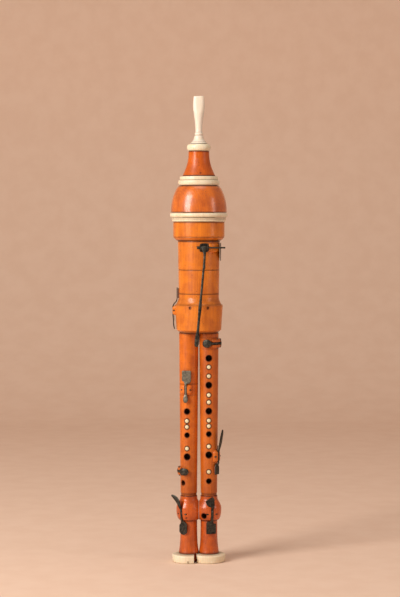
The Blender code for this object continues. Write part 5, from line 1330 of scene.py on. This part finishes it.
# %% The foot keys
FOOT_KEY_HEIGHT, FOOT_KEY_FACE = 52.0, 10.0
left_rows = (
    (-22.0, 0.85, 1.0, 4.4, 1.0, 6), (-19.0, 0.85, 1.0, 10.0, 1.0, 8), (-11.6, 0.85, 1.0, 10.0, 1.0, 8),
    (-8.6, 1.25, 0.3, 4.4, 1.0, 5), (-7.2, 1.8, 0, 2.3, 1.2, 4), (-5.0, 2.7, 0, 2.3, 1.3, 4),
    (3.0, 2.7, 0, 2.3, 1.3, 4), (5.0, 3.6, 0.1, 2.4, 1.3, 3), (7.2, 5.0, -0.2, 2.9, 1.2, 2.6),
    (9.5, 5.5, -0.6, 3.8, 1.2, 2.4), (12.5, 5.7, -1.8, 4.8, 1.2, 2.3), (15.8, 6.0, -4.2, 5.2, 1.1, 2.3),
    (18.2, 6.5, -7.2, 4.0, 1.1, 2.2), (19.6, 6.9, -10.2, 2.0, 1.0, 2.2),
)
upright_lever("left_foot_key", LEFT_X, -38, FOOT_KEY_HEIGHT, FOOT_KEY_FACE, left_rows, key_silver)
right_rows = (
    (-21.1, 0.85, -0.7, 10.4, 1.0, 9), (-20.0, 0.85, -0.7, 10.6, 1.0, 9), (-9.9, 0.85, -0.7, 10.6, 1.0, 9),
    (-8.7, 1.15, -0.2, 4.0, 1.0, 5), (-7.2, 1.8, 0, 2.3, 1.2, 4), (-5.0, 2.7, 0, 2.3, 1.3, 4),
    (3.0, 2.7, 0, 2.3, 1.3, 4), (4.4, 3.4, 0, 2.3, 1.3, 3), (6.4, 4.9, 0, 2.6, 1.2, 2.6),
    (8.4, 5.4, -0.3, 4.2, 1.2, 2.4), (10.6, 5.5, -1.4, 7.4, 1.2, 2.4), (12.8, 5.5, -2.6, 9.4, 1.2, 2.4),
    (15.0, 5.6, -3.2, 10.0, 1.1, 2.4), (16.6, 5.7, -3.6, 8.6, 1.1, 2.4), (17.4, 5.8, -4.0, 6.2, 1.0, 2.4),
)
upright_lever("right_foot_key", RIGHT_X, 16, FOOT_KEY_HEIGHT, FOOT_KEY_FACE, right_rows, key_silver)
print("two levers with", len(left_rows), "and", len(right_rows), "rows")

# %% [markdown]
# ## Keys that lie round the pipe
#
# Two keys turn on upright pins. Their levers follow the pipe's curve, so their paths are points
# at a radius and an angle, and the flat plate over the pad is a straight run at the end.


# %% A lever that lies round a pipe
PLATE_RISE, SHANK_RISE = 1.8, 2.7


def cross_lever(name, centre_x, azimuth, pad_azimuth, height, plate_size, touch):
    """A plate of (width, height) at the pad's azimuth, then a curved shank, then the touch."""
    face = pipe_face(height)
    long, tall = plate_size
    sign = 1 if pad_azimuth > azimuth else -1
    middle = radial_place(centre_x, pad_azimuth, height, (0.0, 0.0, face + PLATE_RISE))
    tangent = radial_place(0.0, pad_azimuth, 0.0, (float(sign), 0.0, 0.0))
    normal = radial_place(0.0, pad_azimuth, 0.0, (0.0, 0.0, 1.0))
    inner = long / 2 - 0.9
    rows = [
        (middle + tangent * long / 2, tall - 0.2, 1.0, 9), (middle + tangent * inner, tall, 1.0, 9),
        (middle - tangent * inner, tall, 1.0, 9), (middle - tangent * long / 2, tall - 1.6, 1.0, 7),
        (middle - tangent * (long / 2 + 0.6) + normal * 0.35, 3.0, 1.1, 4),
    ]
    part_way = azimuth + 0.35 * (pad_azimuth - azimuth)
    for angle in (part_way, azimuth + 0.5 * (part_way - azimuth), azimuth):
        rows.append((radial_place(centre_x, angle, height, (0.0, 0.0, face + SHANK_RISE)), 2.3, 1.3, 4))
    for angle, out, wide, thick in touch:
        rows.append((radial_place(centre_x, angle, height, (0.0, 0.0, face + out)), wide, thick, 2.3))
    path = np.array([row[0] for row in rows])
    sections = np.array([row[1:] for row in rows], float)
    knots = run_of(path)
    at = eased(knots[-1])
    table = through(knots, np.hstack([path, sections]), at)
    outward = table[:, :3] - (centre_x, 0.0, height)
    on_plate = (at < long)[:, None]
    outward = np.where(on_plate, normal, outward / np.linalg.norm(outward, axis=1)[:, None])
    bar = swept_bar(name + "_bar", table[:, :3], outward, *table[:, 3:].T)
    return dress(joined([bar, barrel_of(name)], "forged_" + name), key_silver, "silver", name, name)


# %% The cross keys, their touches as rows of (azimuth, rise, width, thickness)
top_touch = (
    (28, 2.7, 2.3, 1.3), (11, 3.0, 2.5, 1.3), (6, 3.2, 6.0, 1.4), (-4, 3.35, 8.6, 1.5),
    (-16, 3.3, 8.4, 1.5), (-25, 3.2, 6.2, 1.3), (-30, 3.1, 3.0, 1.0),
)
cross_lever("right_top_key", RIGHT_X, 48, 98, 233.0, (8.0, 9.4), top_touch)
side_touch = (
    (-52, 2.9, 2.4, 1.3), (-48, 3.1, 5.2, 1.4), (-41, 3.2, 7.1, 1.6), (-30, 3.4, 7.8, 1.9),
    (-15, 3.3, 7.2, 1.6), (-5, 3.1, 5.0, 1.3), (-1, 3.0, 2.4, 1.0),
)
cross_lever("left_side_key", LEFT_X, -65, -120, 96.9, (8.0, 8.6), side_touch)
print("two cross levers")

# %% [markdown]
# ## Wind cutters
#
# A wind cutter silences one pipe. The left one is a flap hinged on the drum. The right one is a
# long front lever fixed on a thin arbor, which carries a blade at the barrel's side. A saddle
# bracket with small screws holds the arbor.


# %% The left wind cutter
cutter_rows = (
    (24.3, 23.1, 0, 6.0, 0.9, 3.5), (23.0, 23.1, 0, 7.4, 1.0, 5), (13.6, 23.1, 0, 7.4, 1.0, 5),
    (10.4, 23.6, 0, 4.2, 1.1, 3.5), (6.8, 26.4, 0, 2.6, 1.2, 3), (3.8, 27.6, 0, 2.6, 1.2, 3),
    (-3.4, 27.6, 0, 2.6, 1.2, 3), (-6.4, 27.4, 0, 3.0, 1.2, 2.6), (-9.4, 27.1, 0, 5.0, 1.2, 2.4),
    (-15.0, 26.8, 0, 6.0, 1.2, 2.3), (-18.2, 26.3, 0, 5.6, 1.1, 2.2), (-19.9, 25.8, 0, 4.0, 0.9, 2.2),
)
upright_lever("left_cutter", 0.0, -90, 267.7, 0.0, cutter_rows, key_silver, half=1.2)
print("left cutter with", len(cutter_rows), "rows")


# %% Flat plates cut to an outline
def plate(name, outline, x_low, x_high, soft=0.12):
    """An outline of (y, z) in mm carried along X, drawn in a little at both faces."""
    outline = np.asarray(outline, float)
    middle = outline.mean(axis=0)
    inset = middle + (outline - middle) * (1 - soft / np.linalg.norm(outline - middle, axis=1)[:, None])
    count = len(outline)
    levels = ((x_low, inset), (x_low + soft, outline), (x_high - soft, outline), (x_high, inset))
    loops = [np.column_stack([np.full(count, x), loop]) for x, loop in levels]
    return surface(name, np.vstack(loops) * MM, grid_faces(4, count), end_caps(4, count))


# %% The right wind cutter's blade and arbor
hinge_y, hinge_z = -25.4, 334.6
blade_corners = (
    (-1.4, -1.6, 0.5), (-1.4, 1.4, 0.5), (2.0, 2.2, 0.8), (13.0, 5.2, 3.0), (21.0, 4.6, 2.0),
    (28.0, 3.4, 2.0), (29.4, 1.6, 0.8), (29.4, -12.4, 1.0), (27.6, -14.2, 1.0), (21.0, -14.2, 2.0),
    (17.0, -10.0, 2.0), (6.0, -3.4, 3.0),
)
blade = plate("blade", softened(blade_corners, 6) + (hinge_y, hinge_z), 22.67, 23.33)
arbor = rod("arbor", (1.0, hinge_y, hinge_z), (27.8, hinge_y, hinge_z), 0.85, 0.4, 28)
knuckle = rod("knuckle", (2.65, hinge_y, hinge_z), (8.15, hinge_y, hinge_z), 2.0, 0.35, 36)
print("blade points:", len(blade.data.vertices))

# %% The right wind cutter's long lever
long_rows = (
    (1.4, 25.8, 5.4, 4.3, 1.4, 3), (-1.0, 26.7, 5.4, 5.3, 1.6, 3), (-4.0, 26.9, 5.9, 3.8, 1.6, 3),
    (-7.5, 27.2, 6.1, 2.5, 1.6, 2.6), (-25.0, 28.6, 4.75, 2.3, 1.6, 2.4), (-45.0, 30.3, 2.9, 2.4, 1.6, 2.4),
    (-56.0, 30.9, 1.8, 2.9, 1.6, 2.4), (-62.0, 31.2, 1.3, 3.6, 1.6, 2.4), (-68.0, 31.3, 0.75, 3.3, 1.6, 2.4),
    (-76.0, 31.35, 0.0, 2.6, 1.6, 2.4), (-88.0, 31.4, -1.1, 3.0, 1.6, 2.4),
    (-94.0, 31.4, -1.7, 4.5, 1.6, 2.3), (-100.5, 31.4, -2.3, 4.7, 1.5, 2.3),
    (-102.7, 31.4, -2.5, 3.4, 1.3, 2.2), (-103.6, 31.4, -2.6, 1.8, 1.1, 2.2),
)
extras = (blade, arbor, knuckle)
upright_lever("right_cutter", 0.0, 0, hinge_z, 0.0, long_rows, key_silver, extras, 2.0)
print("right cutter forged")


# %% The bracket of the right wind cutter
def curved_sheet(name, azimuth, half_angle, height, half_height, inner, outer):
    """A thin plate bent round the barrel: a superellipse in angle and height, with two faces."""
    turn = round_angles(48)
    u, v = filled(np.cos(turn), 2 / 5), filled(np.sin(turn), 2 / 5)
    radius = np.array([inner, inner, outer - 0.15, outer, outer])[:, None]
    scale = np.array([0.0, 1.0, 1.0, 0.97, 0.0])[:, None]
    angle = np.radians(azimuth + half_angle * scale * u)
    x, y = radius * np.sin(angle), -radius * np.cos(angle)
    points = np.stack([x, y, height + half_height * scale * v], axis=-1)
    return surface(name, points.reshape(-1, 3) * MM, grid_faces(5, 48))


bracket_low, bracket_high = (np.array(corner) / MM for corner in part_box("right_cutter_bracket"))
ear_outline = softened(((-1.9, -2.3, 1.2), (-1.9, 2.3, 1.2), (4.6, 2.3, 0.3), (4.6, -2.3, 0.3)), 8)
pieces = [curved_sheet("base", 14.3, 12.2, hinge_z, 4.6, 22.5, 23.25)]
for low in (1.15, 8.45):
    pieces.append(plate("ear", ear_outline + (hinge_y, hinge_z), low, low + 1.2))
bracket = dress(joined(pieces, "forged_bracket"), key_silver, "silver", "instrument", "right_cutter_bracket")
print("bracket between", bracket_low.round(1), bracket_high.round(1))

# %% The bracket's screws
heads = []
for azimuth, height in ((6.0, 337.9), (6.5, 331.3), (22.6, 337.9), (22.6, 331.3)):
    start, end = (radial_place(0.0, azimuth, height, (0.0, 0.0, radius)) for radius in (22.9, 23.65))
    heads.append(rod("head", start, end, 0.75, 0.25, 20))
screws = joined(heads, "bracket_screws")
screws.data.materials.append(pin_steel)
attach(screws, "instrument")
print("screw heads:", len(heads))

# %% [markdown]
# ## Pins, pads and sponge
#
# The hinge pins are plain steel with softened ends. A pad is a slip of leather glued under its
# plate. The sponge sits over the windways and drinks up moisture, so it has a lumpy skin.

# %% The hinge pins
PIN_RADIUS = 0.8
pin_reach = {
    "left_plate_key": 5.3, "right_side_key": 5.3, "left_foot_key": 5.4, "right_foot_key": 5.4,
    "right_top_key": 5.6, "left_side_key": 4.8, "left_cutter": 4.8,
}
for name, half in pin_reach.items():
    pin = hinge_rod("turned_" + name + "_pin", name, half, PIN_RADIUS, 0.2)
    dress(pin, pin_steel, "steel", "instrument", name + "_pin")
print("pins:", len(pin_reach))


# %% The leather pads
PAD_HALF = 0.6


def leather_pad(name, centre_x, azimuth, height, radius, shift, long, tall):
    """A slab |x|^6 + |z|^6 = 1 in plan whose edge bulges out by a third of a millimetre."""
    t = np.linspace(-math.pi / 2, math.pi / 2, 11)
    turn = round_angles(56)
    x, z = filled(np.cos(turn), 1 / 3), filled(np.sin(turn), 1 / 3)
    inset = 0.35 * (1 - np.cos(t))[:, None]
    out = radius + PAD_HALF * np.sin(t)[:, None] * np.ones_like(x)
    rim = np.stack([shift + (long / 2 - inset) * x, (tall / 2 - inset) * z, out], axis=-1)
    poles = [np.broadcast_to((shift, 0.0, radius + rise), (1, 56, 3)) for rise in (-PAD_HALF, PAD_HALF)]
    local = np.concatenate([poles[0], rim, poles[1]])
    points = radial_place(centre_x, azimuth, height, local.reshape(-1, 3)) * MM
    pad = surface("leather_" + name, points, grid_faces(13, 56))
    dress(pad, leather, "leather", name, name + "_pad")


pads = (
    ("left_plate_key", LEFT_X, -15, 198.35, pipe_face(184.0) + 0.4, 0.6, 9.6, 10.7),
    ("right_side_key", RIGHT_X, 58, 98.5, pipe_face(112.7) + 0.4, -1.2, 6.8, 8.4),
    ("left_foot_key", LEFT_X, -38, FOOT_PAD_HEIGHT, FOOT_SEAT + 0.9, 1.0, 7.6, 9.7),
    ("right_foot_key", RIGHT_X, 16, FOOT_PAD_HEIGHT, FOOT_SEAT + 0.9, -0.7, 9.2, 10.5),
    ("right_top_key", RIGHT_X, 98, 233.0, pipe_face(233.0) + 0.4, 0.0, 7.4, 8.8),
    ("left_side_key", LEFT_X, -120, 96.9, pipe_face(96.9) + 0.4, 0.0, 7.4, 8.0),
    ("left_cutter", 0.0, -90, 285.9, 21.7, 0.0, 6.8, 10.6),
)
for pad in pads:
    leather_pad(*pad)
print("pads:", len(pads))

# %% The sponge
sponge_low, sponge_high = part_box("sponge")
t = np.linspace(0.0, math.pi, 40)[:, None]
angle = round_angles(96)
reach, half = sponge_high[0] / MM, (sponge_high[2] - sponge_low[2]) / 2 / MM
lumps = 1 - 0.02 * (1 + np.sin(7 * angle + 5 * t)) * (1 + np.cos(11 * angle - 8 * t)) / 2
radius = reach * np.sin(t) ** 0.35 * lumps
rise = half * filled(np.cos(t), 0.35) * np.ones_like(angle)
middle = (sponge_high[2] + sponge_low[2]) / 2 / MM
points = np.stack([radius * np.cos(angle), radius * np.sin(angle), middle + rise], axis=-1).reshape(-1, 3)
sponge = surface("soft_sponge", points * MM, grid_faces(40, 96))
dress(sponge, sponge_foam, "sponge", "instrument", "sponge")
print("sponge of", round(reach * 2, 1), "mm")

# %% [markdown]
# ## Springs
#
# A real flat spring bends as its key is pressed, until it lies along the wood. These ones ride
# rigidly on their levers, so each is given the bend that it has when its key is pressed down.
# The shape is found from the CAD spring: it is turned to the key's limit, lifted clear of the
# wood there, and turned back.


# %% Turning points about a hinge
def swung(points, name, angle):
    """Turn points about a hinge: p cos a + (k x p) sin a + k (k . p)(1 - cos a)."""
    place, axis = hinge_line(name)
    arm = points - place
    along = np.outer(arm @ axis, axis) * (1 - math.cos(angle))
    return place + arm * math.cos(angle) + np.cross(axis, arm) * math.sin(angle) + along


# %% The wood under the springs
FOOT_HEIGHTS = (45.2, 46.6, 52.2, 58.0, 60.8, 65.0, 67.2)
FOOT_RADII = (11.0, 11.8, 13.3, 13.3, 12.5, 10.4, 9.5)


def foot_face(height):
    """The radius of a foot's swelling at a height, both in mm."""
    return np.interp(height, FOOT_HEIGHTS, FOOT_RADII)


def drum_face(height):
    """The drum's radius at a height, both in mm: a straight taper."""
    return 23.7 + 1.7 * (height - 247.0) / 26.0


print("radii at mid swelling and mid drum:", foot_face(55.0), round(drum_face(260.0), 2))


# %% The pressed springs
WOOD_GAP = 0.3


def spring(key, centre_x, face):
    """Where a point is nearer to the wood than the gap at the key's limit, it moves out to the gap."""
    node = frame["nodes"][key + "_spring"]
    turn = np.array(node.matrix_world)
    points = (points_of(node) @ turn[:3, :3].T + turn[:3, 3]) / MM
    limit = math.radians(hinges[key]["range_deg"][1])
    pressed = swung(points, key, limit)
    across = pressed[:, :2] - (centre_x, 0.0)
    away = np.linalg.norm(across, axis=1)
    lift = np.maximum(away, face(pressed[:, 2]) + WOOD_GAP) / away
    pressed[:, :2] = (centre_x, 0.0) + across * lift[:, None]
    mesh = node.data.copy()
    mesh.vertices.foreach_set("co", (swung(pressed, key, -limit) * MM).ravel())
    dress(linked("bent_" + key + "_spring", mesh), spring_steel, "steel", key, key + "_spring")
    return (lift > 1).sum()


springs = {
    "left_plate_key": (LEFT_X, pipe_face), "left_side_key": (LEFT_X, pipe_face),
    "right_side_key": (RIGHT_X, pipe_face), "right_top_key": (RIGHT_X, pipe_face),
    "left_foot_key": (LEFT_X, foot_face), "right_foot_key": (RIGHT_X, foot_face),
    "left_cutter": (0.0, drum_face), "right_cutter": (0.0, barrel_face),
}
for key, (centre_x, face) in springs.items():
    print(key, "spring points moved:", spring(key, centre_x, face))

# %% [markdown]
# ## CAD nodes that stay
#
# The windway plugs are hidden inside the stock and already have the right shape. They keep
# their meshes and only get a finish of their own.

# %% Finish the nodes that stay
for name in ("left_fipple", "right_fipple"):
    node = frame["nodes"][name]
    node.data.materials.clear()
    node.data.materials.append(pipe_wood)
    print(name, "keeps its mesh")

# %% [markdown]
# ## Floor and light
#
# The object stands on a sweep of pale paper that rises behind it. A broad lamp at the left
# front gives the wide highlight on the wood, and a weaker one at the right lifts the shadow
# side, as in the photograph. The paper lets light and sight through from its back, so the
# instrument can be looked at from behind as well.


# %% The paper's material
PAPER_LIGHT, PAPER_LIGHTER = (0.83, 0.6, 0.46), (0.86, 0.635, 0.495)


def paper_finish():
    """Faintly mottled paper that can be seen from its front only."""
    material, tree, shader, place = start_material("paper", 0.85)
    mottle = remap(tree, noise(tree, place, 30.0, 4.0), 0.3, 0.7)
    tree.links.new(blend_colours(tree, mottle, PAPER_LIGHT, PAPER_LIGHTER), shader.inputs["Base Color"])
    behind = tree.nodes.new("ShaderNodeNewGeometry").outputs["Backfacing"]
    clear = tree.nodes.new("ShaderNodeBsdfTransparent").outputs[0]
    either = add_node(tree, "ShaderNodeMixShader", {0: behind, 1: shader.outputs[0], 2: clear})
    tree.links.new(either.outputs[0], tree.nodes["Material Output"].inputs["Surface"])
    return material


# %% The paper sweep
BEND_RADIUS, PAPER_COLUMNS = 0.7, 9


def paper_sweep():
    """A floor that turns up into a wall along a quarter circle."""
    bend = np.linspace(-math.pi / 2, 0.0, 24)[1:]
    y = np.concatenate([[-3.4, 0.0, 1.2], 1.2 + BEND_RADIUS * np.cos(bend), [1.9, 1.9]])
    z = np.concatenate([[0.0, 0.0, 0.0], BEND_RADIUS + BEND_RADIUS * np.sin(bend), [1.6, 3.2]])
    x = np.linspace(-3.0, 3.0, PAPER_COLUMNS)
    points = np.stack(np.broadcast_arrays(x, y[:, None], z[:, None]), axis=-1).reshape(-1, 3)
    quads = grid_faces(len(y), PAPER_COLUMNS, wrap_columns=False)
    mesh = bpy.data.meshes.new("paper")
    mesh.from_pydata(points.tolist(), [], quads.tolist())
    mesh.polygons.foreach_set("use_smooth", np.ones(len(mesh.polygons), bool))
    mesh.materials.append(paper_finish())
    linked("paper", mesh)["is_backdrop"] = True
    return len(quads)


print("paper quads:", paper_sweep())
scene.view_settings.view_transform = "Standard"


# %% The lamps
AIM = (0.0, 0.0, 0.28)


def soft_lamp(name, azimuth, elevation, distance, size, power, colour):
    """An area lamp at an azimuth from the front and an elevation, aimed at the stock."""
    data = bpy.data.lights.new(name, "AREA")
    data.shape = "RECTANGLE"
    data.size, data.size_y = size
    data.energy = power
    data.color = colour
    lamp = linked(name, data)
    turn, lift = math.radians(azimuth), math.radians(elevation)
    level = math.cos(lift)
    toward = np.array([math.sin(turn) * level, -math.cos(turn) * level, math.sin(lift)])
    lamp.location = AIM + distance * toward
    lamp.rotation_euler = (math.pi / 2 - lift, 0.0, turn)


soft_lamp("key_lamp", -48, 24, 1.7, (0.7, 1.1), 28.5, (1.0, 0.96, 0.9))
soft_lamp("fill_lamp", 64, 14, 2.0, (0.45, 1.0), 4.5, (1.0, 0.88, 0.84))
soft_lamp("top_lamp", 10, 78, 1.6, (1.0, 1.0), 5.0, (1.0, 0.96, 0.9))
print("lamps:", len(bpy.data.lights))

# %% The world
world = bpy.data.worlds.new("studio")
world.use_nodes = True
tree = world.node_tree
glow = tree.nodes["Background"]
glow.inputs["Color"].default_value = (1.0, 0.82, 0.7, 1.0)
glow.inputs["Strength"].default_value = 0.34
seen = add_node(tree, "ShaderNodeBackground", {"Color": (0.57, 0.375, 0.265, 1.0), "Strength": 1.0})
looking = tree.nodes.new("ShaderNodeLightPath").outputs["Is Camera Ray"]
either = add_node(tree, "ShaderNodeMixShader", {0: looking, 1: glow.outputs[0], 2: seen.outputs[0]})
tree.links.new(either.outputs[0], tree.nodes["World Output"].inputs["Surface"])
scene.world = world
print("world nodes:", len(tree.nodes))

# %% Print the visual size
low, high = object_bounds()
print("visual box in mm:", [round((b - a) / MM, 1) for a, b in zip(low, high)])
